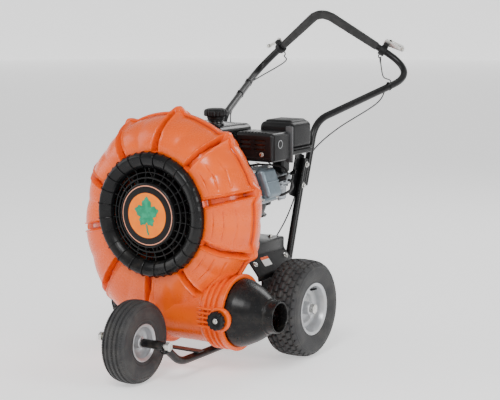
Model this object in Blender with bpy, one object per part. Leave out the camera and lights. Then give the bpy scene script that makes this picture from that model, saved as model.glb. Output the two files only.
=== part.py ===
"""Walk behind leaf blower: engine driven centrifugal blower on three wheels.

World frame: metres, +Z up, the ground is z = 0, forward travel is -Y and +X is
the operator's left, where the air comes out. The dimensions below are
millimetres, measured from the point on the ground under the middle of the rear
axle. The finished machine is then moved so that the origin is the bottom centre
of its outer box.
"""

from math import ceil, cos, pi, radians, sin

import bmesh
import bpy
from mathutils import Matrix, Vector

MM = 0.001
GAP = 0.3                      # clearance kept between touching pieces
X, Y, Z = Vector((1, 0, 0)), Vector((0, 1, 0)), Vector((0, 0, 1))

# Wheels
REAR_RADIUS, REAR_HALF_WIDTH, REAR_TRACK_HALF = 165.0, 62.0, 317.0
FRONT_RADIUS, FRONT_HALF_WIDTH = 133.5, 43.0
FRONT_X, FRONT_Y = 40.0, -574.0
AXLE_RADIUS = 9.5
FRONT_AXLE_RADIUS = 8.0
TYRE_FACETS = 32

# Blower housing, a two-part scroll split at the plane of the discharge duct
SHAFT_Z = 515.0
FACE_Y, SPLIT_Y, BACK_Y = -415.0, -290.0, -190.0
INLET_RADIUS, SCROLL_RADIUS, BACK_RADIUS = 206.0, 325.0, 236.0
WALL = 5.0
FLANGE = 12.0
LUG_PHASE, LUG_RISE = 8.0, 14.0
DUCT_Z, DUCT_RADIUS, DUCT_BORE, DUCT_END_X = 198.0, 111.0, 105.3, 262.0
DUCT_START_X, COLLAR_START_X, COLLAR_RADIUS = -30.0, 195.0, 126.0
NOZZLE_RADIUS, NOZZLE_TIP_X = 50.0, 406.0
KNOB_X, KNOB_RADIUS = 256.0, 31.0
KNOB_FACE_Y = SPLIT_Y - COLLAR_RADIUS - 6

# Fan and crankshaft
FAN_RADIUS, FAN_HUB_RADIUS, SHAFT_RADIUS = 215.0, 34.0, 12.7
BLADE_COUNT = 12
GRILLE_RIBS = 16
PTO_Y, RECOIL_Y = -150.0, 60.0
CRANK_PULLEY, INPUT_PULLEY = 35.0, 55.0
PULLEY_Y, PULLEY_WIDTH = -167.0, 18.0
INPUT_Z, AXLE_Z = 215.0, REAR_RADIUS

# Engine
BASE_Z = 383.0
CYLINDER_TILT, CYLINDER_Y = 20.0, -25.0
RECOIL_COVER_RADIUS = 127.0

# Chassis and handle
TUBE = 13.0
RAIL_Z, RAIL_RISE_Y = 61.0, -128.0
RAIL_RIGHT_X, RAIL_LEFT_X = 150.0, -70.0
SHEET = 6.0
HOOP_CORNER = Vector((352.0, 838.0, 917.0))
HOOP_TOP = Vector((0.0, 709.0, 1152.0))
HANDLE_BEND = Vector((193.0, 319.0, 767.0))
FOAM_RADIUS = 17.0
CLAMP_T = 0.36                # place of each control clamp from corner to hoop top

MATERIALS = {
    "orange_plastic": ((0.90, 0.16, 0.03), 0.35, 0.0),
    "black_plastic": ((0.02, 0.02, 0.02), 0.42, 0.0),
    "badge_plastic": ((0.93, 0.42, 0.08), 0.30, 0.0),
    "black_paint": ((0.025, 0.025, 0.027), 0.38, 0.0),
    "cast_aluminium": ((0.52, 0.53, 0.54), 0.45, 1.0),
    "zinc_steel": ((0.62, 0.62, 0.60), 0.35, 1.0),
    "silver_paint": ((0.63, 0.64, 0.66), 0.38, 0.0),
    "tyre_rubber": ((0.03, 0.03, 0.033), 0.80, 0.0),
    "foam_rubber": ((0.03, 0.03, 0.03), 0.90, 0.0),
    "dark_metal": ((0.09, 0.09, 0.095), 0.45, 0.0),
    "filter_paper": ((0.75, 0.68, 0.50), 0.90, 0.0),
    "cable_sheath": ((0.02, 0.02, 0.02), 0.50, 0.0),
}


def clear_scene():
    """Remove the objects that the file starts with."""
    for item in list(bpy.data.objects):
        bpy.data.objects.remove(item, do_unlink=True)


def material(name):
    """Return the named material, made once from MATERIALS."""
    found = bpy.data.materials.get(name)
    if found:
        return found
    color, roughness, metallic = MATERIALS[name]
    made = bpy.data.materials.new(name)
    made.use_nodes = True
    shader = made.node_tree.nodes["Principled BSDF"]
    shader.inputs["Base Color"].default_value = (*color, 1.0)
    shader.inputs["Roughness"].default_value = roughness
    shader.inputs["Metallic"].default_value = metallic
    made.diffuse_color = (*color, 1.0)
    return made


def piece(name, mesh, finish, pivot=(0, 0, 0)):
    """Turn a bmesh in world millimetres into one object with its origin at the pivot."""
    pivot = Vector(pivot)
    bmesh.ops.remove_doubles(mesh, verts=mesh.verts, dist=1e-4)
    bmesh.ops.recalc_face_normals(mesh, faces=mesh.faces)
    bmesh.ops.translate(mesh, verts=mesh.verts, vec=-pivot)
    bmesh.ops.scale(mesh, verts=mesh.verts, vec=(MM, MM, MM))
    data = bpy.data.meshes.new(name)
    mesh.to_mesh(data)
    mesh.free()
    data.shade_smooth()
    data.set_sharp_from_angle(angle=radians(32))
    data.materials.append(material(finish))
    obj = bpy.data.objects.new(name, data)
    obj.location = pivot * MM
    bpy.context.scene.collection.objects.link(obj)
    return obj


def combine(target, tools, operation):
    """Apply a Boolean with each tool in turn and remove the tools."""
    for tool in tools:
        change = target.modifiers.new(operation, "BOOLEAN")
        change.operation = operation
        change.solver = "EXACT"
        change.object = tool
        graph = bpy.context.evaluated_depsgraph_get()
        data = bpy.data.meshes.new_from_object(target.evaluated_get(graph))
        target.modifiers.clear()
        target.data = data
        bpy.data.objects.remove(tool, do_unlink=True)
    data = target.data
    mesh = bmesh.new()
    mesh.from_mesh(data)
    bmesh.ops.remove_doubles(mesh, verts=mesh.verts, dist=2e-6)
    bmesh.ops.dissolve_degenerate(mesh, edges=mesh.edges, dist=1e-6)
    mesh.to_mesh(data)
    mesh.free()
    data.shade_smooth()
    data.set_sharp_from_angle(angle=radians(32))
    return target


def cut(target, *tools):
    """Subtract the tools from the target."""
    return combine(target, tools, "DIFFERENCE")


def join(target, *tools):
    """Unite the tools with the target into one body."""
    return combine(target, tools, "UNION")


def frame_along(direction):
    """Rotation that takes +Z to the direction."""
    return Vector(direction).to_track_quat("Z", "Y").to_matrix().to_4x4()


def box_mesh(low, high, bevel=0.0, segments=2):
    """Box between two corners, with its edges rounded by the bevel width."""
    low, high = Vector(low), Vector(high)
    mesh = bmesh.new()
    bmesh.ops.create_cube(mesh, size=1.0)
    bmesh.ops.scale(mesh, verts=mesh.verts, vec=high - low)
    bmesh.ops.translate(mesh, verts=mesh.verts, vec=(low + high) / 2)
    if bevel:
        bmesh.ops.bevel(mesh, geom=mesh.edges, offset=bevel, segments=segments,
                        profile=0.5, affect="EDGES", clamp_overlap=True)
    return mesh


def rod_mesh(start, end, radius, sides=24, end_radius=None):
    """Cylinder, or cone, between two points."""
    start, end = Vector(start), Vector(end)
    mesh = bmesh.new()
    top = radius if end_radius is None else end_radius
    bmesh.ops.create_cone(mesh, cap_ends=True, segments=sides, radius1=radius,
                          radius2=top, depth=(end - start).length)
    turn = Matrix.Translation((start + end) / 2) @ frame_along(end - start)
    bmesh.ops.transform(mesh, matrix=turn, verts=mesh.verts)
    return mesh


def turned_mesh(profile, centre, axis, sides=32, phase=0.0):
    """Solid of revolution of a closed (radius, height) profile about an axis."""
    mesh = bmesh.new()
    rings = []
    for radius, height in profile:
        if radius < 1e-6:
            rings.append([mesh.verts.new((0, 0, height))] * sides)
            continue
        angles = [2 * pi * (k + phase) / sides for k in range(sides)]
        rings.append([mesh.verts.new((radius * cos(a), radius * sin(a), height)) for a in angles])
    for lower, upper in zip(rings, rings[1:] + rings[:1]):
        for k in range(sides):
            corners = [lower[k], lower[k - 1], upper[k - 1], upper[k]]
            unique = list(dict.fromkeys(corners))
            if len(unique) > 2:
                mesh.faces.new(unique)
    turn = Matrix.Translation(Vector(centre)) @ frame_along(axis)
    bmesh.ops.transform(mesh, matrix=turn, verts=mesh.verts)
    return mesh


def extruded_mesh(outline, origin, across, up, depth):
    """Prism from a closed 2D outline in the (across, up) plane, extruded by the depth vector."""
    mesh = bmesh.new()
    origin, across, up = Vector(origin), Vector(across), Vector(up)
    corners = [mesh.verts.new(origin + across * a + up * b) for a, b in outline]
    face = mesh.faces.new(corners)
    grown = bmesh.ops.extrude_face_region(mesh, geom=[face])
    moved = [item for item in grown["geom"] if isinstance(item, bmesh.types.BMVert)]
    bmesh.ops.translate(mesh, verts=moved, vec=Vector(depth))
    return mesh


def rounded_path(points, reaches, steps=6):
    """Polyline through the points with each inner corner eased over its reach."""
    points = [Vector(p) for p in points]
    path = [points[0]]
    for before, corner, after, reach in zip(points, points[1:], points[2:], reaches):
        start = corner + (before - corner).normalized() * reach
        end = corner + (after - corner).normalized() * reach
        for k in range(steps + 1):
            t = k / steps
            path.append(start * (1 - t) ** 2 + corner * 2 * t * (1 - t) + end * t ** 2)
    path.append(points[-1])
    return path


def swept_mesh(path, radius, sides=12, bore=0.0):
    """Round bar along a path, or a tube where a bore radius is given."""
    mesh = bmesh.new()
    path = [Vector(p) for p in path]
    tangents = []
    for k, point in enumerate(path):
        ahead = path[min(k + 1, len(path) - 1)]
        behind = path[max(k - 1, 0)]
        tangents.append((ahead - behind).normalized())
    side = tangents[0].orthogonal().normalized()
    sections = []
    for point, tangent in zip(path, tangents):
        side = (side - tangent * side.dot(tangent)).normalized()
        other = tangent.cross(side)
        ring = []
        for size in ([radius, bore] if bore else [radius]):
            angles = [2 * pi * k / sides for k in range(sides)]
            ring.append([mesh.verts.new(point + side * size * cos(a) + other * size * sin(a))
                         for a in angles])
        sections.append(ring)
    for layer in range(2 if bore else 1):
        for near, far in zip(sections, sections[1:]):
            for k in range(sides):
                mesh.faces.new([near[layer][k - 1], near[layer][k], far[layer][k], far[layer][k - 1]])
    for section in (sections[0], sections[-1]):
        if bore:
            for k in range(sides):
                mesh.faces.new([section[0][k - 1], section[0][k], section[1][k], section[1][k - 1]])
        else:
            mesh.faces.new(section[0])
    return mesh


def cable(name, points, radius, steps=28):
    """Sheathed cable: a bevelled curve through points read from a smooth spline."""
    points = [Vector(p) for p in points]
    padded = [points[0] * 2 - points[1]] + points + [points[-1] * 2 - points[-2]]
    lengths = [(b - a).length for a, b in zip(points, points[1:])]
    spacing = sum(lengths) / steps
    samples = []
    for k, length in enumerate(lengths):
        p0, p1, p2, p3 = padded[k:k + 4]
        count = max(2, ceil(length / spacing))
        for step in range(count):
            t = step / count
            samples.append(0.5 * (p1 * 2 + (p2 - p0) * t + (p0 * 2 - p1 * 5 + p2 * 4 - p3) * t * t
                                  + (p1 * 3 - p0 - p2 * 3 + p3) * t ** 3))
    samples.append(points[-1])
    curve = bpy.data.curves.new(name, "CURVE")
    curve.dimensions = "3D"
    curve.bevel_depth = radius * MM
    curve.bevel_resolution = 2
    curve.use_fill_caps = True
    curve.render_resolution_u = 0
    spline = curve.splines.new("POLY")
    spline.points.add(len(samples) - 1)
    for target, sample in zip(spline.points, samples):
        target.co = (*(sample * MM), 1.0)
    curve.materials.append(material("cable_sheath"))
    obj = bpy.data.objects.new(name, curve)
    bpy.context.scene.collection.objects.link(obj)
    return obj


# ---------------------------------------------------------------- wheels


def tyre(name, centre, radius, half_width, bead, pivot_finish="tyre_rubber"):
    """Pneumatic tyre as a closed ring, with a flat facet on the ground."""
    grow = 1 / cos(pi / TYRE_FACETS)
    crown, shoulder = radius * grow, (radius - 9) * grow
    wall = bead + (radius - bead) * 0.55
    half = [(bead, half_width * 0.80), (bead + 10, half_width * 0.90), (wall, half_width),
            (shoulder, half_width * 0.92), (crown, half_width * 0.70)]
    profile = half + [(r, -h) for r, h in reversed(half)]
    mesh = turned_mesh(profile, centre, X, TYRE_FACETS, phase=0.5)
    return piece(name, mesh, pivot_finish, centre)


def rim(name, centre, bead, half_width, hub, bore, finish="silver_paint"):
    """Steel wheel rim: barrel with two flanges, pressed disc and hub with its bore."""
    edge, well, disc = half_width * 0.80, bead - 20, half_width * 0.10
    seat = bead * cos(pi / TYRE_FACETS) - GAP
    profile = [(bore, -half_width * 0.7), (hub, -half_width * 0.7), (hub, -disc - 4),
               (well - 5, disc - 4), (well - 5, -edge + 6), (seat, -edge), (well, -edge + 14),
               (well, edge - 14), (seat, edge), (well - 5, edge - 6), (well - 5, disc),
               (hub, -disc), (hub, half_width * 0.7), (bore, half_width * 0.7)]
    return piece(name, turned_mesh(profile, centre, X, 24), finish, centre)


def build_wheels():
    """Two rear drive wheels with their axle, and the front wheel with its bolt."""
    for side, label in ((1, "left"), (-1, "right")):
        centre = Vector((side * REAR_TRACK_HALF, 0, AXLE_Z))
        tyre(f"rear_tyre_{label}", centre, REAR_RADIUS, REAR_HALF_WIDTH, 88.0)
        rim(f"rear_rim_{label}", centre, 88.0, REAR_HALF_WIDTH, 22.0, AXLE_RADIUS + 0.6)
    end = REAR_TRACK_HALF + 50
    axle = piece("rear_axle", rod_mesh((-end, 0, AXLE_Z), (end, 0, AXLE_Z), AXLE_RADIUS, 20),
                 "zinc_steel", (0, 0, AXLE_Z))
    for side in (1, -1):
        nut = rod_mesh((side * (end - 6), 0, AXLE_Z), (side * (end + 6), 0, AXLE_Z), 17, 6)
        join(axle, piece("nut", nut, "zinc_steel"))
    centre = Vector((FRONT_X, FRONT_Y, FRONT_RADIUS))
    tyre("front_tyre", centre, FRONT_RADIUS, FRONT_HALF_WIDTH, 59.0)
    rim("front_rim", centre, 59.0, FRONT_HALF_WIDTH, 17.0, FRONT_AXLE_RADIUS + 0.5)
    low = (RAIL_LEFT_X - TUBE - 10, FRONT_Y, FRONT_RADIUS)
    high = (RAIL_RIGHT_X + TUBE + 10, FRONT_Y, FRONT_RADIUS)
    bolt = piece("front_axle", rod_mesh(low, high, FRONT_AXLE_RADIUS, 16), "zinc_steel")
    for tip, out in ((low, -9), (high, 9)):
        nut = rod_mesh((tip[0] - out, tip[1], tip[2]), (tip[0] + out * 0.3, tip[1], tip[2]), 15, 6)
        join(bolt, piece("nut", nut, "zinc_steel"))


# ---------------------------------------------------------------- chassis


def build_rail(name, front_x, sleeve_from, sleeve_to):
    """Frame tube from its axle sleeve, under the duct and up to the engine base."""
    path = rounded_path([(front_x, FRONT_Y + 3, FRONT_RADIUS - 2), (front_x, -484, RAIL_Z),
                         (front_x, RAIL_RISE_Y, RAIL_Z), (front_x, RAIL_RISE_Y, BASE_Z - 7)],
                        [38, 55], 4)
    rail = piece(name, swept_mesh(path, TUBE, 12), "black_paint")
    sleeve = rod_mesh((sleeve_from, FRONT_Y, FRONT_RADIUS), (sleeve_to, FRONT_Y, FRONT_RADIUS), 14, 16)
    hole = rod_mesh((sleeve_from - 20, FRONT_Y, FRONT_RADIUS), (sleeve_to + 20, FRONT_Y, FRONT_RADIUS),
                    FRONT_AXLE_RADIUS + 1, 12)
    join(rail, piece("sleeve", sleeve, "black_paint"))
    cut(rail, piece("hole", hole, "black_paint"))


def build_chassis():
    """Front rails, cross strap, folded engine base, axle plates and handle posts."""
    build_rail("frame_rail_left", RAIL_RIGHT_X, FRONT_X + 34, RAIL_RIGHT_X + 2)
    build_rail("frame_rail_right", RAIL_LEFT_X, RAIL_LEFT_X - 2, FRONT_X - 34)
    strap_z = RAIL_Z + TUBE + GAP
    strap = box_mesh((RAIL_LEFT_X - 18, -402, strap_z), (RAIL_RIGHT_X + 18, -370, strap_z + 5), 1.0, 1)
    piece("front_cross_strap", strap, "black_paint")

    top, t = BASE_Z - GAP, SHEET
    outer = [(-238, 268), (-238, 285), (-190, 345), (-190, top)]
    inner = [(-190 + t, top - t), (-190 + t, 343), (-238 + t, 283), (-238 + t, 268)]
    outline = outer + [(-x, z) for x, z in reversed(outer)]
    outline += [(-x, z) for x, z in reversed(inner)] + inner
    base = extruded_mesh(outline, (0, -140, 0), X, Z, (0, 245, 0))
    piece("engine_base", base, "black_paint")

    for side, label in ((1, "left"), (-1, "right")):
        inside = side * 203
        plate = [(-70, 200), (-30, 120), (40, 120), (150, 190), (150, 250), (100, 306), (-70, 306)]
        mesh = extruded_mesh(plate, (inside, 0, 0), Y, Z, (side * SHEET, 0, 0))
        made = piece(f"axle_plate_{label}", mesh, "black_paint")
        hole = rod_mesh((side * 180, 0, AXLE_Z), (side * 230, 0, AXLE_Z), AXLE_RADIUS + 0.5, 20)
        cut(made, piece("hole", hole, "black_paint"))

    plate = [(-110, 305), (110, 305), (150, 380), (150, 550), (60, 600), (-60, 600), (-150, 550), (-150, 380)]
    mesh = extruded_mesh(plate, (0, -186, 0), X, Z, (0, SHEET, 0))
    mount = piece("housing_mount_plate", mesh, "black_paint")
    hole = rod_mesh((0, -200, SHAFT_Z), (0, -170, SHAFT_Z), 60, 32)
    cut(mount, piece("hole", hole, "black_paint"))


def post_y(z):
    """Y of the leaning handle post's centre line at a height."""
    return 144 + (z - 296) * 0.331


def build_posts():
    """Lower handle posts with the flat brackets welded to their tops."""
    lean = Vector((0, 0.331, 1)).normalized()
    for side, label in ((1, "left"), (-1, "right")):
        x = side * (203 - TUBE - GAP)
        start, end = Vector((x, post_y(196) - 8, 196)), Vector((x, post_y(640) - 8, 640))
        post = piece(f"lower_post_{label}", swept_mesh([start, end], TUBE, 14), "black_paint")
        across = lean.cross(X)
        middle = Vector((x, post_y(580) - 8, 580))
        outline = [(-17, -78), (44, -78), (44, 78), (-17, 78)]
        face_x = x - side * (TUBE + 3)
        mesh = extruded_mesh(outline, (face_x, middle.y, middle.z), -across, lean, (side * 5, 0, 0))
        join(post, piece("bracket", mesh, "black_paint"))


# ---------------------------------------------------------------- handle and controls


def hoop_path():
    """Centre line of the one-piece upper handle, left leg to right leg."""
    foot = Vector((190 - GAP, post_y(545) + 20, 545))
    left = [foot, HANDLE_BEND, HOOP_CORNER]
    right = [Vector((-p.x, p.y, p.z)) for p in reversed(left)]
    return rounded_path(left + [HOOP_TOP] + right, [62, 145, 62, 145, 62], 6)


def hoop_point(side, t):
    """Point on the sloping hoop bar, t from its corner (0) to the top (1)."""
    corner = Vector((side * HOOP_CORNER.x, HOOP_CORNER.y, HOOP_CORNER.z))
    return corner.lerp(HOOP_TOP, t), (HOOP_TOP - corner).normalized()


def build_handle():
    """Upper handle hoop, foam sleeve, and the two clamped hand controls."""
    path = hoop_path()
    piece("upper_handle", swept_mesh(path, TUBE, 12), "black_paint")
    low, _ = hoop_point(1, CLAMP_T + 0.06)
    grip = [p for p in path if p.z > low.z + 6]
    grip = [low] + grip + [Vector((-low.x, low.y, low.z))]
    piece("foam_grip", swept_mesh(grip, FOAM_RADIUS, 14, bore=TUBE + 0.9), "foam_rubber")

    for side, clamp, lever in ((1, "drive_clamp", "drive_lever"), (-1, "throttle_clamp", "throttle_lever")):
        centre, along = hoop_point(side, CLAMP_T)
        profile = [(TUBE + 0.4, -11), (21, -11), (21, 11), (TUBE + 0.4, 11)]
        ring = piece(clamp, turned_mesh(profile, centre, along, 24), "black_plastic")
        up = along.cross(Vector((0, -1, 0))) * side
        up = up.normalized() if up.z > 0 else -up.normalized()
        front = up.cross(along).normalized()
        front = front if front.y < 0 else -front
        turn = Matrix((along * -1, front, up)).transposed().to_4x4()
        turn.translation = centre
        block = box_mesh((-10, -8, 17), (10, 8, 36), 1.5, 1)
        bmesh.ops.transform(block, matrix=turn, verts=block.verts)
        join(ring, piece("block", block, "black_plastic"))
        pivot = turn @ Vector((0, -8 - GAP, 29))
        outline = [(-7, -7), (7, -7), (14, 2), (66, 10), (68, 16), (62, 19), (8, 14), (-5, 9)]
        plate = extruded_mesh(outline, (0, 0, 0), X, Z, (0, -4, 0))
        bmesh.ops.transform(plate, matrix=Matrix.Translation(pivot) @ turn.to_3x3().to_4x4(),
                            verts=plate.verts)
        arm = piece(lever, plate, "zinc_steel", pivot)
        tip = turn @ Vector((64, -10 - GAP, 29 + 14))
        knob = rod_mesh(tip - front * 9, tip + front * 9, 8, 16)
        join(arm, piece("tip", knob, "zinc_steel"))


def build_cables():
    """Throttle and drive cables, clipped along the handle tubes."""
    offset = TUBE + 2.8
    left, along = hoop_point(1, CLAMP_T)
    arm = (HOOP_CORNER - HANDLE_BEND).normalized()
    under = arm.cross(X).normalized()
    under = under if under.z < 0 else -under

    def beside(side, t, lift=1.0):
        point = HANDLE_BEND.lerp(HOOP_CORNER, t) + under * offset * lift
        return Vector((side * point.x, point.y, point.z))

    start = left + Vector((-16, -16, -24))
    drive = [start, start + Vector((6, -2, -62)), beside(1, 0.66, 1.0) + Vector((-16, 4, 8)),
             beside(1, 0.58, 1.6), beside(1, 0.40, 4.0), beside(1, 0.18, 4.8),
             (214, 340, 640), (206, 300, 540), (150, 180, 430), (150, 122, 400)]
    cable("drive_cable", drive, 2.4)
    right, _ = hoop_point(-1, CLAMP_T)
    start = right + Vector((14, -16, -24))
    throttle = [start, start + Vector((-14, -20, -50)), beside(-1, 0.62, 1.3), beside(-1, 0.40, 1.0),
                beside(-1, 0.22, 1.6), (-150, 330, 770), (-60, 250, 690), (60, 215, 640),
                (118, 205, 600), (140, 172, 575)]
    cable("throttle_cable", throttle, 2.4)


# ---------------------------------------------------------------- blower housing


def scroll_radius(angle):
    """Radius of the scroll at an angle in degrees, clockwise from the top seen from the front."""
    bottom = SHAFT_Z - DUCT_Z + DUCT_RADIUS
    if angle < 180:
        blend = min(max((angle - 140) / 40, 0), 1)
    else:
        blend = min(max((290 - angle) / 110, 0), 1)
    blend = blend * blend * (3 - 2 * blend)
    return SCROLL_RADIUS + (bottom - SCROLL_RADIUS) * blend


def scroll_solid(name, inset, sides=48, steps=5):
    """Closed scroll body: rings from the inlet face over the rim to the back face."""
    mesh = bmesh.new()
    rings = []
    stations = [(FACE_Y + (0 if not inset else -10), 0)]
    for k in range(steps + 1):
        stations.append((FACE_Y, k / steps))
    for k in range(1, steps + 1):
        stations.append((BACK_Y, 1 - k / steps))
    front_depth, back_depth = SPLIT_Y - FACE_Y - inset, BACK_Y - SPLIT_Y - inset
    for k, (plane, t) in enumerate(stations):
        ring = []
        for s in range(sides):
            angle = 360 * s / sides
            rim_radius = scroll_radius(angle) - inset
            if k == 0:
                radius, y = INLET_RADIUS - inset, FACE_Y - (10 if inset else 0)
            elif plane == FACE_Y:
                base = INLET_RADIUS - inset
                radius = base + (rim_radius - base) * sin(t * pi / 2)
                y = SPLIT_Y - front_depth * cos(t * pi / 2)
            else:
                base = BACK_RADIUS - inset
                radius = base + (rim_radius - base) * sin(t * pi / 2)
                y = SPLIT_Y + back_depth * cos(t * pi / 2)
            a = radians(angle)
            ring.append(mesh.verts.new((radius * sin(a), y, SHAFT_Z + radius * cos(a))))
        rings.append(ring)
    if not inset:
        rings.pop(0)
    for near, far in zip(rings, rings[1:]):
        for s in range(sides):
            mesh.faces.new([near[s - 1], near[s], far[s], far[s - 1]])
    mesh.faces.new(rings[0])
    mesh.faces.new(rings[-1])
    return piece(name, mesh, "orange_plastic")


def parting_flange(name, low_y, high_y, sides=100):
    """Flange disc around the parting line, with a screw lug at each panel joint."""
    mesh = bmesh.new()
    low, high = [], []
    for s in range(sides):
        angle = 360 * s / sides
        from_lug = (angle - LUG_PHASE + 18) % 36 - 18
        lug = LUG_RISE * max(0.0, cos(radians(from_lug * 14))) if abs(from_lug) < 6.4 else 0
        lug = 0 if 128 < angle < 200 else lug
        radius = scroll_radius(angle) + FLANGE + lug - (8 if 140 < angle < 200 else 0)
        a = radians(angle)
        for row, y in ((low, low_y), (high, high_y)):
            row.append(mesh.verts.new((radius * sin(a), y, SHAFT_Z + radius * cos(a))))
    for s in range(sides):
        mesh.faces.new([low[s - 1], low[s], high[s], high[s - 1]])
    mesh.faces.new(low)
    mesh.faces.new(high)
    return piece(name, mesh, "orange_plastic")


def duct_rod(name, radius, start, end, sides=32):
    """Cylinder on the discharge duct's axis."""
    mesh = rod_mesh((start, SPLIT_Y, DUCT_Z), (end, SPLIT_Y, DUCT_Z), radius, sides)
    return piece(name, mesh, "orange_plastic")


def build_housing():
    """Front and rear scroll shells, split at the duct's axis plane."""
    far = 700
    for name, keep_low, keep_high, flange in (
            ("housing_front_shell", FACE_Y - 50, SPLIT_Y - GAP / 2, (SPLIT_Y - 9, SPLIT_Y + 2)),
            ("housing_rear_shell", SPLIT_Y + GAP / 2, BACK_Y + 50, (SPLIT_Y - 2, SPLIT_Y + 7))):
        shell = scroll_solid(name, 0)
        join(shell, parting_flange("flange", *flange), duct_rod("duct", DUCT_RADIUS, DUCT_START_X, DUCT_END_X - 1),
             collar_solid())
        if name == "housing_front_shell":
            join(shell, knob_rod("boss", 37, SPLIT_Y - DUCT_RADIUS + 3, KNOB_FACE_Y, 28))
            cut(shell, knob_rod("hole", 6.3, KNOB_FACE_Y - 5, KNOB_FACE_Y + 11, 14))
        cut(shell, scroll_solid("hollow", WALL), duct_rod("bore", DUCT_BORE, DUCT_START_X + 10, DUCT_END_X + 9),
            duct_rod("nozzle_clearance", DUCT_RADIUS + 4, DUCT_END_X, DUCT_END_X + 60))
        if name == "housing_rear_shell":
            hub = rod_mesh((0, BACK_Y - 40, SHAFT_Z), (0, BACK_Y + 40, SHAFT_Z), 45, 28)
            cut(shell, piece("hub_hole", hub, "orange_plastic"))
            away = box_mesh((-far, FACE_Y - 60, -100), (far, keep_low, 1000))
        else:
            away = box_mesh((-far, keep_high, -100), (far, BACK_Y + 200, 1000))
        cut(shell, piece("away", away, "orange_plastic"))


def build_grille():
    """Round intake grille of ribs and hoops, with a generic disc in its centre."""
    centre = (0, 0, SHAFT_Z)
    ring = [(178, -438), (186, -447), (198, -446), (208, -436), (210, -416), (204, -415.3), (176, -415.3),
            (174, -426)]
    ring = [(r, y) for r, y in ring]
    grille = piece("intake_grille", turned_mesh(ring, centre, Y, 32), "black_plastic")
    for inner, outer, low in ((138, 143, -430),):
        hoop = [(inner, low), (outer, low), (outer, low + 12), (inner, low + 12)]
        join(grille, piece("hoop", turned_mesh(hoop, centre, Y, 32), "black_plastic"))
    disc = [(0, -440), (100, -440), (106, -434), (106, -418), (0, -418)]
    join(grille, piece("disc", turned_mesh(disc, centre, Y, 32), "black_plastic"))
    for k in range(GRILLE_RIBS):
        a = 2 * pi * (k + 0.5) / GRILLE_RIBS
        rib = box_mesh((98, -434, -1.6), (184, -418, 1.6))
        bmesh.ops.rotate(rib, verts=rib.verts, cent=(0, 0, 0), matrix=Matrix.Rotation(a, 3, "Y"))
        bmesh.ops.translate(rib, verts=rib.verts, vec=(0, 0, SHAFT_Z))
        join(grille, piece("rib", rib, "black_plastic"))
    badge = [(0, -445), (80, -445), (82, -443), (82, -440 - GAP), (0, -440 - GAP)]
    piece("intake_badge", turned_mesh(badge, centre, Y, 32), "badge_plastic")


def collar_solid():
    """Ring-ribbed collar around the duct's mouth, with the boss that the knob screws into."""
    low, high = COLLAR_RADIUS - 6, COLLAR_RADIUS
    profile = [(0, COLLAR_START_X), (low, COLLAR_START_X)]
    for k in range(3):
        start = COLLAR_START_X + 6 + k * 17
        profile += [(low, start), (high, start + 1), (high, start + 6), (low, start + 7)]
    profile += [(high, DUCT_END_X - 6), (high, DUCT_END_X), (0, DUCT_END_X)]
    mesh = turned_mesh(profile, (0, SPLIT_Y, DUCT_Z), X, 32)
    return piece("collar", mesh, "orange_plastic")


def knob_rod(name, radius, start_y, end_y, sides):
    """Cylinder on the knob's axis: the collar's round boss, or the hole tapped in it."""
    mesh = rod_mesh((KNOB_X, start_y, DUCT_Z), (KNOB_X, end_y, DUCT_Z), radius, sides)
    return piece(name, mesh, "orange_plastic")


def build_discharge():
    """The swivelling nozzle and its locking knob."""
    axis_point = (0, SPLIT_Y, DUCT_Z)
    spigot, lip = DUCT_BORE - 1.5, DUCT_END_X + 2 * GAP
    outer = [(spigot, 222), (spigot, lip), (110, lip), (111, 268), (101, 300), (82, 337), (61, 366),
             (NOZZLE_RADIUS + 4, 380), (NOZZLE_RADIUS, NOZZLE_TIP_X)]
    inner = [(NOZZLE_RADIUS - 4, NOZZLE_TIP_X), (NOZZLE_RADIUS - 1, 380), (56, 364), (77, 335),
             (96, 298), (spigot - 4, 262), (spigot - 4, 222)]
    nozzle = turned_mesh(outer + inner, axis_point, X, 32)
    piece("discharge_nozzle", nozzle, "black_plastic", axis_point)

    knob_y = KNOB_FACE_Y - GAP
    grip = [(0, 10), (5.5, 10), (5.5, 0), (16, 0), (KNOB_RADIUS, -6), (KNOB_RADIUS, -18),
            (KNOB_RADIUS - 5, -23), (0, -23)]
    mesh = turned_mesh(grip, (KNOB_X, knob_y, DUCT_Z), Y, 30)
    piece("nozzle_knob", mesh, "black_plastic", (KNOB_X, knob_y, DUCT_Z))


# ---------------------------------------------------------------- rotating group and drive


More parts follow.
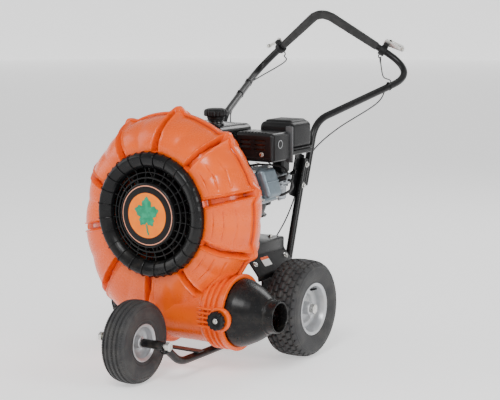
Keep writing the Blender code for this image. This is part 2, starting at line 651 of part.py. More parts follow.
def build_fan():
    """Bladed impeller keyed to the crankshaft, with its pulley and flywheel."""
    centre = Vector((0, 0, SHAFT_Z))
    hub = [(SHAFT_RADIUS + GAP, -340), (FAN_HUB_RADIUS, -340), (FAN_HUB_RADIUS, -226), (FAN_RADIUS, -226),
           (FAN_RADIUS, -220), (FAN_HUB_RADIUS, -216), (SHAFT_RADIUS + GAP, -216)]
    fan = piece("impeller", turned_mesh(hub, centre, Y, 32), "dark_metal", centre)
    for k in range(BLADE_COUNT):
        outline = [(FAN_HUB_RADIUS - 4, -222), (FAN_HUB_RADIUS - 4, -330), (95, -352), (FAN_RADIUS - 30, -372),
                   (FAN_RADIUS, -360), (FAN_RADIUS, -222)]
        blade = extruded_mesh(outline, (0, 0, -2), X, Y, (0, 0, 4))
        bmesh.ops.rotate(blade, verts=blade.verts, cent=(FAN_HUB_RADIUS, 0, 0),
                         matrix=Matrix.Rotation(radians(14), 3, "Y"))
        bmesh.ops.rotate(blade, verts=blade.verts, cent=(0, 0, 0),
                         matrix=Matrix.Rotation(2 * pi * k / BLADE_COUNT, 3, "Y"))
        bmesh.ops.translate(blade, verts=blade.verts, vec=centre)
        join(fan, piece("blade", blade, "dark_metal"))

    bolt = [(0, -354), (9, -354), (9, -346), (17, -346), (17, -340 - GAP), (0, -340 - GAP)]
    piece("impeller_bolt", turned_mesh(bolt, centre, Y, 16), "zinc_steel", centre)
    shaft = [(0, -338), (SHAFT_RADIUS, -338), (SHAFT_RADIUS, 128), (0, 128)]
    piece("crankshaft", turned_mesh(shaft, centre, Y, 24), "zinc_steel", centre)
    r, w = CRANK_PULLEY, PULLEY_WIDTH / 2
    piece("crank_pulley", turned_mesh(pulley_profile(r, w, SHAFT_RADIUS + GAP), (0, PULLEY_Y, SHAFT_Z), Y, 24),
          "zinc_steel", centre)
    wheel = [(SHAFT_RADIUS + GAP, 76), (30, 76), (36, 88), (112, 84), (112, 106), (36, 100), (30, 118),
             (SHAFT_RADIUS + GAP, 118)]
    piece("flywheel", turned_mesh(wheel, centre, Y, 28), "cast_aluminium", centre)


def pulley_profile(radius, half, bore):
    """V-belt pulley section: two flanges and the groove between them."""
    return [(bore, -half), (radius, -half), (radius, -half + 1.5), (radius - 11, -4), (radius - 11, 4),
            (radius, half - 1.5), (radius, half), (bore, half)]


def belt_loop(top_radius, bottom_radius, steps=10):
    """Outline in (x, z) of a belt around the crank pulley and the input pulley."""
    span = SHAFT_Z - INPUT_Z
    tilt = (bottom_radius - top_radius) / span
    outline = []
    for centre, radius, start, end in ((SHAFT_Z, top_radius, -tilt, pi + tilt),
                                       (INPUT_Z, bottom_radius, pi + tilt, 2 * pi - tilt)):
        for k in range(steps + 1):
            a = start + (end - start) * k / steps
            outline.append((radius * cos(a), centre + radius * sin(a)))
    return outline


def build_drive():
    """Belt, idler and worm gearbox that turn the rear axle."""
    outer = belt_loop(CRANK_PULLEY - 1, INPUT_PULLEY - 1)
    inner = belt_loop(CRANK_PULLEY - 10, INPUT_PULLEY - 10)
    low = PULLEY_Y - 3.2
    belt = piece("drive_belt", extruded_mesh(outer, (0, low, 0), X, Z, (0, 6.4, 0)), "tyre_rubber")
    cut(belt, piece("inside", extruded_mesh(inner, (0, low - 5, 0), X, Z, (0, 20, 0)), "tyre_rubber"))

    case = piece("gearbox_case", box_mesh((-48, -72, 128), (48, 44, 262), 8, 2), "cast_aluminium")
    hanger = box_mesh((-42, -36, 250), (42, -28, BASE_Z - SHEET - 2 * GAP))
    through = rod_mesh((-60, 0, AXLE_Z), (60, 0, AXLE_Z), AXLE_RADIUS + 0.5, 20)
    worm_bore = rod_mesh((0, -80, INPUT_Z), (0, 52, INPUT_Z), 8.5, 18)
    join(case, piece("hanger", hanger, "cast_aluminium"))
    cut(case, piece("through", through, "cast_aluminium"), piece("worm_bore", worm_bore, "cast_aluminium"))

    pivot = (0, 0, INPUT_Z)
    worm = piece("worm_shaft", rod_mesh((0, -177, INPUT_Z), (0, 40, INPUT_Z), 8, 18), "zinc_steel", pivot)
    pulley = turned_mesh(pulley_profile(INPUT_PULLEY, PULLEY_WIDTH / 2, 6), (0, PULLEY_Y, INPUT_Z), Y, 28)
    join(worm, piece("pulley", pulley, "zinc_steel", pivot))

    pivot = Vector((126, -152.6, 440))
    idler = Vector((82, PULLEY_Y, 372))
    arm_y = pivot.y
    reach = idler - Vector((pivot.x, PULLEY_Y, pivot.z))
    side = Vector((-reach.z, 0, reach.x)).normalized() * 10
    outline = []
    for centre, turn in ((Vector((pivot.x, 0, pivot.z)), 0), (Vector((idler.x, 0, idler.z)), pi)):
        for k in range(7):
            a = turn - pi * k / 6
            offset = side * cos(a) - reach.normalized() * 10 * sin(a) * -1
            outline.append(((centre + offset).x, (centre + offset).z))
    arm = extruded_mesh(outline, (0, arm_y - 4, 0), X, Z, (0, 4, 0))
    made = piece("idler_arm", arm, "zinc_steel", pivot)
    stud = rod_mesh((idler.x, arm_y - 2, idler.z), (idler.x, PULLEY_Y - 9, idler.z), 4, 12)
    join(made, piece("stud", stud, "zinc_steel"))
    profile = [(4.4, -6), (20, -6), (20, 6), (4.4, 6)]
    piece("idler_pulley", turned_mesh(profile, idler, Y, 24), "zinc_steel", idler)


# ---------------------------------------------------------------- engine


def build_engine():
    """Single cylinder engine: block, head, covers and the recoil housing."""
    block = piece("engine_block", box_mesh((-105, PTO_Y, BASE_Z + 8), (88, RECOIL_Y - GAP, 640), 14, 2),
                  "dark_metal")
    feet = box_mesh((-118, PTO_Y + 6, BASE_Z), (112, RECOIL_Y - 10, BASE_Z + 16), 2, 1)
    shroud = box_mesh((-92, -70, 630), (60, RECOIL_Y - 8, 690 - GAP), 8, 1)
    switch_box = box_mesh((-124, 14, 566), (-100, 52, 604), 2, 1)
    join(block, piece("feet", feet, "dark_metal"), piece("shroud", shroud, "dark_metal"),
         piece("switch_box", switch_box, "dark_metal"))
    for x, z in ((-66, 432), (66, 432), (-66, 572), (66, 572)):
        boss = rod_mesh((x, -180 + GAP, z), (x, PTO_Y + 6, z), 9, 16)
        join(block, piece("boss", boss, "dark_metal"))

    centre = Vector((0, CYLINDER_Y, SHAFT_Z))
    tilt = Matrix.Translation(centre) @ Matrix.Rotation(radians(-CYLINDER_TILT), 4, "Y")

    def tilted(low, high, bevel=0.0):
        mesh = box_mesh(low, high, bevel, 2)
        bmesh.ops.transform(mesh, matrix=tilt, verts=mesh.verts)
        return mesh

    join(block, piece("barrel", tilted((60, -52, -52), (146, 52, 52)), "dark_metal"))
    for k in range(4):
        start = 98 + 12 * k
        join(block, piece("fin", tilted((start, -66, -62), (start + 4, 66, 62)), "dark_metal"))
    shaft_hole = rod_mesh((0, PTO_Y - 10, SHAFT_Z), (0, RECOIL_Y + 10, SHAFT_Z), SHAFT_RADIUS + 0.5, 24)
    cut(block, piece("shaft_hole", shaft_hole, "dark_metal"))

    head = piece("cylinder_head", tilted((146.4, -68, -64), (200, 68, 62), 4), "cast_aluminium")
    plug_hole = tilted((185, 50, -6), (210, 80, 6))
    cut(head, piece("plug_hole", plug_hole, "cast_aluminium"))
    piece("valve_cover", tilted((200.4, -52, -58), (238, 46, 50), 10), "cast_aluminium")
    boot = rod_mesh(tilt @ Vector((206, 60, 0)), tilt @ Vector((246, 72, 0)), 9, 16)
    piece("spark_plug_cap", boot, "black_plastic")

    r, low, high = RECOIL_COVER_RADIUS, RECOIL_Y, 150.0
    outer = [(r, low), (r, low + 34), (r - 16, high - 20), (r - 34, high), (0, high)]
    inner = [(0, high - 4), (r - 36, high - 4), (r - 20, high - 23), (r - 4, low + 32), (r - 4, low)]
    cover = turned_mesh([(a, b) for a, b in outer + inner], (0, 0, SHAFT_Z), Y, 32)
    piece("recoil_cover", cover, "black_paint")
    grip = Vector((-46, 150 + GAP, 578))
    handle = box_mesh((grip.x - 42, grip.y + 8, grip.z - 10), (grip.x + 42, grip.y + 30, grip.z + 10), 6, 2)
    pull = piece("recoil_grip", handle, "black_plastic", grip)
    stem = rod_mesh(grip, grip + Y * 14, 9, 16)
    join(pull, piece("stem", stem, "black_plastic", grip))

    dip = (-105 - GAP, -60, 424)
    cap = turned_mesh([(0, 0), (9, 0), (15, -3), (15, -18), (0, -22)], dip, X, 20)
    piece("oil_dipstick", cap, "black_plastic", dip)
    switch = (-124 - GAP, 33, 585)
    knob = turned_mesh([(0, 0), (13, 0), (13, -5), (5, -6), (0, -6)], switch, X, 20)
    made = piece("engine_switch", knob, "black_plastic", switch)
    bar = box_mesh((switch[0] - 16, switch[1] - 3, switch[2] - 12), (switch[0] - 4, switch[1] + 3, switch[2] + 12))
    join(made, piece("bar", bar, "black_plastic", switch))


def build_fuel_and_exhaust():
    """Tank and cap, muffler with its guard, carburettor and air cleaner."""
    tank = piece("fuel_tank", box_mesh((-188, -108, 690), (62, 118, 772), 22, 3), "black_paint")
    neck = rod_mesh((0, -36, 765), (0, -36, 788), 27, 28)
    join(tank, piece("neck", neck, "black_paint"))
    hollow = box_mesh((-182, -102, 696), (56, 112, 766), 18, 2)
    filler = rod_mesh((0, -36, 750), (0, -36, 800), 22, 28)
    cut(tank, piece("hollow", hollow, "black_paint"), piece("filler", filler, "black_paint"))
    cap_profile = [(0, -12), (20, -12), (20, GAP), (30, GAP), (30, 14), (41, 18), (41, 36), (34, 43), (0, 43)]
    cap = turned_mesh(cap_profile, (0, -36, 788), Z, 28)
    piece("fuel_cap", cap, "black_plastic", (0, -36, 788))

    piece("muffler", box_mesh((100, -48, 662), (230, 46, 742), 12, 2), "dark_metal")
    guard = piece("muffler_guard", box_mesh((91, -58, 656), (240, 54, 757), 8, 2), "black_paint")
    inside = box_mesh((95, -54, 640), (236, 80, 753), 5, 1)
    cut(guard, piece("inside", inside, "black_paint"))
    for column in range(2):
        for row in range(3):
            x, z = 112 + column * 58, 700 + row * 14
            slot = box_mesh((x, -70, z), (x + 44, -45, z + 5))
            cut(guard, piece("slot", slot, "black_paint"))

    carb = piece("carburettor", box_mesh((132, 84, 560), (196, 150, 604), 5, 1), "cast_aluminium")
    bowl = rod_mesh((164, 116, 508), (164, 116, 562), 24, 24)
    join(carb, piece("bowl", bowl, "cast_aluminium"))
    join(carb, piece("neck", box_mesh((140, 46, 566), (188, 90, 600), 3, 1), "cast_aluminium"))
    elbow = piece("air_cleaner_base", box_mesh((112, 62, 672), (246, 203, 690), 4, 1), "black_plastic")
    join(elbow, piece("duct", box_mesh((144, 96, 604 + GAP), (190, 146, 680), 6, 1), "black_plastic"))
    cut(elbow, piece("bore", rod_mesh((166, 120, 590), (166, 120, 700), 17, 20), "black_plastic"))
    filter_body = turned_mesh([(24, 0), (48, 0), (48, 70), (24, 70)], (180, 132, 690 + GAP), Z, 28)
    piece("air_filter", filter_body, "filter_paper")
    cover = piece("air_cleaner_cover", box_mesh((112, 62, 690 + GAP), (246, 203, 790), 16, 3), "black_plastic")
    inside = box_mesh((117, 67, 670), (241, 198, 785), 12, 2)
    cut(cover, piece("inside", inside, "black_plastic"))

    for name, x, z, drop in (("choke_lever", 182, 590, 30), ("fuel_lever", 150, 574, -30)):
        pivot = (x, 150 + GAP, z)
        outline = [(-6, 0), (-4, -6 * (drop > 0) + 6 * (drop < 0)), (4, -6 * (drop > 0) + 6 * (drop < 0)),
                   (6, 0), (26, drop * 0.3), (28, drop * 0.7), (20, drop * 0.75), (0, 8 if drop > 0 else -8)]
        lever = extruded_mesh(outline, pivot, X, Z, (0, 3, 0))
        piece(name, lever, "black_plastic", pivot)


def centre_on_ground():
    """Move the whole machine so that the origin is the bottom centre of its box."""
    bpy.context.view_layer.update()
    graph = bpy.context.evaluated_depsgraph_get()
    low, high = Vector((1e9,) * 3), Vector((-1e9,) * 3)
    for obj in bpy.data.objects:
        shape = obj.evaluated_get(graph)
        for vertex in shape.to_mesh().vertices:
            place = obj.matrix_world @ vertex.co
            low = Vector(map(min, low, place))
            high = Vector(map(max, high, place))
        shape.to_mesh_clear()
    shift = Vector(((low.x + high.x) / 2, (low.y + high.y) / 2, 0))
    for obj in bpy.data.objects:
        obj.location -= shift


def main():
    """Build every sub-assembly in order."""
    clear_scene()
    build_wheels()
    build_chassis()
    build_posts()
    build_handle()
    build_cables()
    build_housing()
    build_grille()
    build_discharge()
    build_fan()
    build_drive()
    build_engine()
    build_fuel_and_exhaust()
    centre_on_ground()


main()
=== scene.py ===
"""Walk behind leaf blower: the visible machine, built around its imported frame.

Sizes are millimetres from the ground point under the middle of the rear axle.
Forward is -Y, +X is the side the air leaves by and +Z is up.
"""

import logging
from dataclasses import dataclass, field
from enum import Enum
from math import cos, pi, radians, sin
from typing import Callable, Optional, Sequence

import bpy
import numpy as np
from mathutils import Matrix, Vector

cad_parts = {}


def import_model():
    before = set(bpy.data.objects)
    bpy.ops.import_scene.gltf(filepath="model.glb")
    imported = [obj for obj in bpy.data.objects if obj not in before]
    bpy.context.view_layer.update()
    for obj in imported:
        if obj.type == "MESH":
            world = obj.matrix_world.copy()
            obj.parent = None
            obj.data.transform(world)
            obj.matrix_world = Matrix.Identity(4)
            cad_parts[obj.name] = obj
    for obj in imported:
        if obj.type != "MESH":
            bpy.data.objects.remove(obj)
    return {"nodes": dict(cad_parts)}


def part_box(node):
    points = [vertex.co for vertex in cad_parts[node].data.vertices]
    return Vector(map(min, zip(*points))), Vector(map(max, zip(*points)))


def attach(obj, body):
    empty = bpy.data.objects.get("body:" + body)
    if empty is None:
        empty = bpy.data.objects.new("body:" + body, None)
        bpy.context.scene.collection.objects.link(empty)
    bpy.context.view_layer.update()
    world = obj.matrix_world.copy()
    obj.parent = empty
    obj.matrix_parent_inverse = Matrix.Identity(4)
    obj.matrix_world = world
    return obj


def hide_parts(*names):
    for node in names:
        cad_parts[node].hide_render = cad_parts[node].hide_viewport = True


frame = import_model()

log = logging.getLogger("leaf_blower")
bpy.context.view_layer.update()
MM = 0.001
SMOOTH_ANGLE = radians(34)
WELD = 4e-6

X, Y, Z = Vector((1, 0, 0)), Vector((0, 1, 0)), Vector((0, 0, 1))
AXLE_LOW, AXLE_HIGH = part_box("rear_axle")
DATUM = Vector(((AXLE_LOW.x + AXLE_HIGH.x) / 2, (AXLE_LOW.y + AXLE_HIGH.y) / 2, 0.0))

Profile = Sequence[tuple[float, float]]
Path = Sequence[Sequence[float]]


class Body(Enum):
    """Bodies of the frame that the new pieces ride on."""

    FRAME = "frame"
    NOZZLE = "nozzle"
    KNOB = "nozzle_lock"
    FRONT_WHEEL = "front_wheel"
    LEFT_WHEEL = "rear_wheel_left"
    RIGHT_WHEEL = "rear_wheel_right"
    DRIVE_LEVER = "drive_control"
    THROTTLE_LEVER = "throttle_control"
    FUEL_CAP = "fuel_filler_cap"
    STARTER = "starter_pull"


# ------------------------------------------------------------------ shader graph


class Value:
    """A number in a shader graph that reads as arithmetic."""

    def __init__(self, graph: "Graph", socket: bpy.types.NodeSocket) -> None:
        """Wrap an output socket of the graph."""
        self.graph, self.socket = graph, socket

    def _math(self, kind: str, first: "Value | float", second: "Value | float" = 0.0) -> "Value":
        """Add one Math node.

        Args:
            kind: operation of the node.
            first: first number or value.
            second: second number or value.

        Returns:
            The node's result.
        """
        return self.graph.value("ShaderNodeMath", {"operation": kind}, {0: first, 1: second})

    def __add__(self, other: "Value | float") -> "Value":
        """Sum."""
        return self._math("ADD", self, other)

    __radd__ = __add__

    def __sub__(self, other: "Value | float") -> "Value":
        """Difference."""
        return self._math("SUBTRACT", self, other)

    def __mul__(self, other: "Value | float") -> "Value":
        """Product."""
        return self._math("MULTIPLY", self, other)

    __rmul__ = __mul__

    def __pow__(self, other: "Value | float") -> "Value":
        """Power."""
        return self._math("POWER", self, other)

    def clamped(self) -> "Value":
        """The value kept between 0 and 1."""
        return self.graph.value("ShaderNodeClamp", {}, {0: self})


class Graph:
    """Node graph of one material, ending in its Principled shader."""

    def __init__(self, name: str) -> None:
        """Make an empty material with its shader."""
        self.material = bpy.data.materials.new(name)
        self.material.use_nodes = True
        self.tree = self.material.node_tree
        self.shader = self.tree.nodes["Principled BSDF"]
        self.place = self.tree.nodes.new("ShaderNodeTexCoord").outputs["Object"]

    def node(self, kind: str, settings: dict, inputs: dict) -> bpy.types.Node:
        """Add a node.

        Args:
            kind: node type.
            settings: properties set before the sockets.
            inputs: socket name or index to a value, a link or a plain number.

        Returns:
            The new node.
        """
        made = self.tree.nodes.new(kind)
        for key, setting in settings.items():
            setattr(made, key, setting)
        for key, given in inputs.items():
            self.feed(made.inputs[key], given)
        return made

    def feed(self, socket: bpy.types.NodeSocket, given: object) -> None:
        """Link or set one input socket."""
        if isinstance(given, Value):
            given = given.socket
        if isinstance(given, bpy.types.NodeSocket):
            self.tree.links.new(given, socket)
        elif isinstance(given, tuple) and len(given) == 3 and socket.type == "RGBA":
            socket.default_value = (*given, 1.0)
        else:
            socket.default_value = given

    def value(self, kind: str, settings: dict, inputs: dict) -> Value:
        """Add a node and wrap its first output."""
        return Value(self, self.node(kind, settings, inputs).outputs[0])

    def noise(self, scale: float, detail: float = 3.0, place: object = None, rough: float = 0.55) -> Value:
        """Noise over the piece, about 0.5 in the middle."""
        return self.value("ShaderNodeTexNoise", {}, {
            "Vector": place or self.place, "Scale": scale, "Detail": detail, "Roughness": rough})

    def mapped(self, centre: Vector = Vector(), turn: tuple = (0, 0, 0),
               scale: tuple = (1, 1, 1)) -> object:
        """Object coordinates measured from a centre, then turned and scaled."""
        moved = self.node("ShaderNodeMapping", {}, {"Vector": self.place, "Location": tuple(-centre)})
        turned = self.node("ShaderNodeMapping", {}, {
            "Vector": moved.outputs[0], "Rotation": turn, "Scale": scale})
        return turned.outputs[0]

    def axes(self, place: object) -> tuple[Value, Value, Value]:
        """The three numbers of a place."""
        split = self.node("ShaderNodeSeparateXYZ", {}, {0: place})
        return tuple(Value(self, out) for out in split.outputs)

    def stretch(self, value: Value, low: float, high: float) -> Value:
        """Map a span of the value to 0 to 1, smoothly and clamped."""
        return self.value("ShaderNodeMapRange", {"interpolation_type": "SMOOTHSTEP"}, {
            0: value, 1: low, 2: high, 3: 0.0, 4: 1.0})

    def pointiness(self) -> Value:
        """How far the surface stands out, 0.5 where it is flat."""
        return Value(self, self.tree.nodes.new("ShaderNodeNewGeometry").outputs["Pointiness"])

    def mix(self, factor: object, first: object, second: object) -> object:
        """Blend two colours."""
        made = self.node("ShaderNodeMix", {"data_type": "RGBA"}, {0: factor, 6: first, 7: second})
        return made.outputs[2]

    def bump(self, height: Value, distance: float) -> None:
        """Raise the surface by the height times the distance in metres."""
        made = self.node("ShaderNodeBump", {}, {"Height": height, "Distance": distance, "Strength": 1.0})
        self.feed(self.shader.inputs["Normal"], made.outputs[0])

    def settle(self, **sockets: object) -> bpy.types.Material:
        """Set the shader's sockets by name, with _ for a space, and return the material."""
        for key, given in sockets.items():
            self.feed(self.shader.inputs[key.replace("_", " ")], given)
        return self.material


# ------------------------------------------------------------------ finishes


@dataclass(frozen=True)
class Finish:
    """A surface finish: two near colours, gloss, grain and the dust that lies on it."""

    name: str
    color: tuple[float, float, float]
    drift: tuple[float, float, float]
    roughness: float
    spread: float = 0.10
    metallic: float = 0.0
    coat: float = 0.0
    grain: float = 900.0
    grain_depth: float = 0.00008
    patch: float = 9.0
    dust: float = 0.0
    worn: tuple[float, float, float] = (0.30, 0.30, 0.30)
    wear: float = 0.0
    specular: float = 0.5

    def make(self) -> bpy.types.Material:
        """Build the material.

        Returns:
            The material of this finish.
        """
        graph = Graph(self.name)
        broad = graph.noise(self.patch, 4.0)
        speck = graph.noise(self.grain * 0.22, 3.0)
        grain = graph.noise(self.grain, 2.0)
        color = graph.mix(graph.stretch(broad, 0.35, 0.68), self.color, self.drift)
        rough = self.roughness + (speck - 0.5) * self.spread + (broad - 0.5) * self.spread
        if self.wear:
            chipped = graph.stretch(graph.pointiness() + (speck - 0.5) * 0.10, 0.56, 0.64) * self.wear
            color = graph.mix(chipped, color, self.worn)
            rough = rough + chipped * 0.15
        if self.dust:
            low = graph.stretch(graph.axes(graph.place)[2], 0.55, 0.02)
            settled = graph.stretch(graph.noise(38.0, 5.0), 0.42, 0.75) * low * self.dust
            color = graph.mix(settled, color, (0.30, 0.25, 0.19))
            rough = rough + settled * 0.3
        graph.bump(grain + speck * 0.6, self.grain_depth)
        return graph.settle(Base_Color=color, Roughness=rough.clamped(), Metallic=self.metallic,
                            Coat_Weight=self.coat, Coat_Roughness=0.12, Specular_IOR_Level=self.specular)


class Finishes:
    """Every finish of the machine, made once."""

    def __init__(self) -> None:
        """Build the shared materials."""
        self.orange = self.moulded_orange()
        self.grille = Finish("grille_plastic", (0.0045, 0.0045, 0.005), (0.009, 0.009, 0.009), 0.24, 0.10,
                             grain=700.0, grain_depth=0.00006, dust=0.12, specular=0.20).make()
        self.nozzle = Finish("nozzle_plastic", (0.005, 0.005, 0.0055), (0.010, 0.010, 0.0105), 0.26, 0.10,
                             grain=520.0, grain_depth=0.00009, dust=0.06, specular=0.20).make()
        self.plastic = Finish("black_plastic", (0.006, 0.006, 0.0065), (0.013, 0.013, 0.0135), 0.36, 0.14,
                              grain=1100.0, grain_depth=0.00016, specular=0.20).make()
        self.paint = Finish("black_powder_coat", (0.0045, 0.0045, 0.005), (0.009, 0.009, 0.0095), 0.30,
                            0.12,
                            coat=0.15, grain=420.0, grain_depth=0.00010, dust=0.08, wear=0.12,
                            specular=0.20).make()
        self.tank = Finish("tank_enamel", (0.004, 0.004, 0.004), (0.008, 0.008, 0.008), 0.20, 0.10,
                           coat=0.4, grain=160.0, grain_depth=0.00005, wear=0.2, specular=0.20).make()
        self.casting = Finish("dark_casting", (0.050, 0.052, 0.055), (0.090, 0.092, 0.096), 0.52, 0.18,
                              metallic=0.55, grain=520.0, grain_depth=0.00030, patch=26.0, wear=0.3).make()
        self.alloy = Finish("cast_alloy", (0.36, 0.385, 0.41), (0.27, 0.285, 0.30), 0.38, 0.20,
                            metallic=0.85, grain=480.0, grain_depth=0.00026, patch=30.0).make()
        self.zinc = Finish("zinc_plate", (0.66, 0.66, 0.65), (0.52, 0.51, 0.46), 0.27, 0.16,
                           metallic=1.0, grain=650.0, grain_depth=0.00004, patch=60.0).make()
        self.silver = Finish("silver_wheel_paint", (0.50, 0.51, 0.53), (0.42, 0.43, 0.44), 0.34, 0.14,
                             metallic=0.55, coat=0.2, grain=900.0, grain_depth=0.00006, dust=0.35,
                             patch=18.0).make()
        self.exhaust = Finish("hot_steel", (0.17, 0.060, 0.035), (0.10, 0.055, 0.040), 0.52, 0.25,
                              metallic=0.7, grain=300.0, grain_depth=0.00020, patch=35.0).make()
        self.fan = Finish("fan_polymer", (0.030, 0.030, 0.032), (0.050, 0.046, 0.042), 0.48, 0.15,
                          grain=500.0).make()
        self.paper = Finish("filter_paper", (0.62, 0.52, 0.30), (0.50, 0.42, 0.25), 0.9, 0.05).make()
        self.sheath = Finish("cable_sheath", (0.012, 0.012, 0.012), (0.03, 0.03, 0.03), 0.40, 0.15,
                             grain=900.0, grain_depth=0.00006).make()
        self.plate = Finish("blank_plate", (0.42, 0.43, 0.44), (0.33, 0.34, 0.35), 0.40, 0.12,
                            metallic=0.2, grain=700.0).make()
        self.blank = Finish("blank_white", (0.70, 0.70, 0.68), (0.60, 0.60, 0.58), 0.42, 0.10,
                            grain=700.0).make()
        self.cover = Finish("cover_alloy", (0.17, 0.215, 0.25), (0.13, 0.165, 0.19), 0.36, 0.18,
                            metallic=0.6,
                            grain=420.0, grain_depth=0.00024, patch=24.0).make()
        self.strip = Finish("grey_strip", (0.045, 0.046, 0.048), (0.07, 0.071, 0.074), 0.38, 0.12,
                            grain=800.0).make()
        self.rubber = self.tyre_rubber()
        self.foam = self.grip_foam()
        self.badge = self.ringed_badge()
        self.leaf = Finish("green_relief", (0.0, 0.20, 0.095), (0.005, 0.30, 0.15), 0.34, 0.08,
                           specular=0.3, grain=400.0, grain_depth=0.00004, patch=60.0).make()
        self.belt = Finish("belt_rubber", (0.018, 0.018, 0.018), (0.035, 0.035, 0.035), 0.75, 0.1).make()

    @staticmethod
    def moulded_orange() -> bpy.types.Material:
        """Glossy moulded plastic: flow marks, fine scuffs, painted shade in its crevices and dust near the
        ground.
        """
        graph = Graph("orange_housing")
        place = graph.mapped(DATUM + Vector((0, 0, 0.515)))
        broad = graph.noise(5.0, 4.0)
        flow = graph.noise(3.2, 3.0, graph.mapped(DATUM, scale=(1.0, 1.0, 3.4)))
        grain = graph.noise(620.0, 2.0)
        speck = graph.noise(150.0, 3.0)
        scuffs = graph.stretch(graph.noise(30.0, 6.0, graph.mapped(scale=(9.0, 9.0, 0.7)), 0.7), 0.62, 0.72)
        color = graph.mix(graph.stretch(flow, 0.30, 0.70), (0.74, 0.082, 0.0), (0.82, 0.104, 0.0))
        color = graph.mix(scuffs * 0.06, color, (0.95, 0.24, 0.06))
        height = graph.axes(place)[2]
        low = graph.stretch(height, -0.18, -0.46)
        dirt = graph.stretch(graph.noise(26.0, 6.0), 0.50, 0.80) * low * 0.22
        color = graph.mix(dirt, color, (0.36, 0.09, 0.02))
        # painted shade: concave places, such as the channels and the edges of their lips, are darkened
        # towards deep red to stand in for the shadow in them
        painted_crevice_shade = graph.stretch(graph.pointiness(), 0.485, 0.43) * 0.75
        color = graph.mix(painted_crevice_shade, color, (0.26, 0.012, 0.0))
        rough = 0.27 + (speck - 0.5) * 0.10 + (broad - 0.5) * 0.16 + scuffs * 0.12 + dirt * 0.5
        graph.bump(grain * 0.5 + speck + broad * 6.0, 0.00007)
        return graph.settle(Base_Color=color, Roughness=rough.clamped(), Coat_Weight=0.12,
                            Coat_Roughness=0.10,
                            Specular_IOR_Level=0.35)

    @staticmethod
    def tyre_rubber() -> bpy.types.Material:
        """Rubber that is greyer where dust sits in its grain."""
        graph = Graph("tyre_rubber")
        broad, fine = graph.noise(24.0, 5.0), graph.noise(420.0, 3.0)
        grain = graph.noise(1300.0, 2.0)
        color = graph.mix(graph.stretch(broad, 0.4, 0.72), (0.016, 0.016, 0.017), (0.030, 0.029, 0.028))
        dusty = graph.stretch(fine * 0.6 + broad * 0.5, 0.56, 0.78) * 0.45
        color = graph.mix(dusty, color, (0.080, 0.074, 0.066))
        graph.bump(grain + fine, 0.00022)
        rough = 0.62 + (fine - 0.5) * 0.25 + dusty * 0.2
        return graph.settle(Base_Color=color, Roughness=rough.clamped())

    @staticmethod
    def grip_foam() -> bpy.types.Material:
        """Closed cell foam with open pores."""
        graph = Graph("foam_sleeve")
        pores = graph.value("ShaderNodeTexVoronoi", {}, {"Vector": graph.place, "Scale": 620.0})
        broad = graph.noise(40.0, 4.0)
        color = graph.mix(graph.stretch(broad, 0.35, 0.7), (0.012, 0.012, 0.012), (0.028, 0.027, 0.027))
        graph.bump(pores + broad * 0.6, 0.0005)
        return graph.settle(Base_Color=color, Roughness=(0.78 + (broad - 0.5) * 0.2).clamped())

    @staticmethod
    def ringed_badge() -> bpy.types.Material:
        """Printed disc: black rim, thin pale ring, black band and an orange middle."""
        graph = Graph("ringed_badge")
        x, _, z = graph.axes(graph.mapped(DATUM + Vector((0, 0, 0.515))))
        radius = (x * x + z * z) ** 0.5
        soft = 0.0005

        def ring(inner: float, outer: float) -> Value:
            """Mask of a ring between two radii."""
            return graph.stretch(radius, inner - soft, inner + soft) * graph.stretch(
                radius, outer + soft, outer - soft)

        speck = graph.noise(300.0, 3.0)
        black = graph.mix(speck, (0.004, 0.0035, 0.0035), (0.008, 0.0075, 0.0075))
        color = graph.mix(ring(0.0945, 0.0972), black, (0.80, 0.34, 0.22))
        middle = graph.mix(graph.stretch(graph.noise(30.0, 3.0), 0.3, 0.7), (0.86, 0.17, 0.0),
                           (0.92, 0.21, 0.002))
        color = graph.mix(ring(-0.01, 0.0735), color, middle)
        graph.bump(speck, 0.00004)
        return graph.settle(Base_Color=color, Roughness=0.36, Coat_Weight=0.0, Specular_IOR_Level=0.18)


# ------------------------------------------------------------------ bench


def clear_selection() -> None:
    """Select nothing."""
    bpy.ops.object.select_all(action="DESELECT")


def world(point: Sequence[float]) -> Vector:
    """Bench millimetres to frame metres."""
    return DATUM + Vector(point) * MM


def edit_all(*steps: Callable[[], object]) -> None:
    """Run operators on the whole active mesh in edit mode."""
    bpy.ops.object.mode_set(mode="EDIT")
    bpy.ops.mesh.select_all(action="SELECT")
    for step in steps:
        step()
    bpy.ops.object.mode_set(mode="OBJECT")


def weld() -> object:
    """Merge the doubles of the selected mesh."""
    return bpy.ops.mesh.remove_doubles(threshold=WELD)


def outward() -> object:
    """Turn the selected faces outwards."""
    return bpy.ops.mesh.normals_make_consistent(inside=False)


def skin(points: np.ndarray, wrap: bool = True) -> bpy.types.Object:
    """Lay a grid over rows and columns of points.

    Args:
        points: array of rows, columns and three millimetre coordinates.
        wrap: whether the last column meets the first.

    Returns:
        The welded mesh object, placed in its mesh.
    """
    if wrap:
        points = np.concatenate([points, points[:, :1]], axis=1)
    rows, columns = points.shape[:2]
    clear_selection()
    bpy.ops.mesh.primitive_grid_add(x_subdivisions=columns - 1, y_subdivisions=rows - 1, size=1)
    made = bpy.context.object
    flat = points.reshape(-1, 3) * MM + np.array(DATUM)
    made.data.vertices.foreach_set("co", flat.ravel())
    made.data.update()
    edit_all(weld, outward)
    return made


def axis_frame(axis: Vector) -> tuple[Vector, Vector, Vector]:
    """Two directions across an axis, and the axis, right handed."""
    axis = Vector(axis).normalized()
    across = Z.cross(axis) if abs(axis.z) < 0.9 else X.copy()
    across = (across - axis * across.dot(axis)).normalized()
    return across, axis.cross(across).normalized(), axis


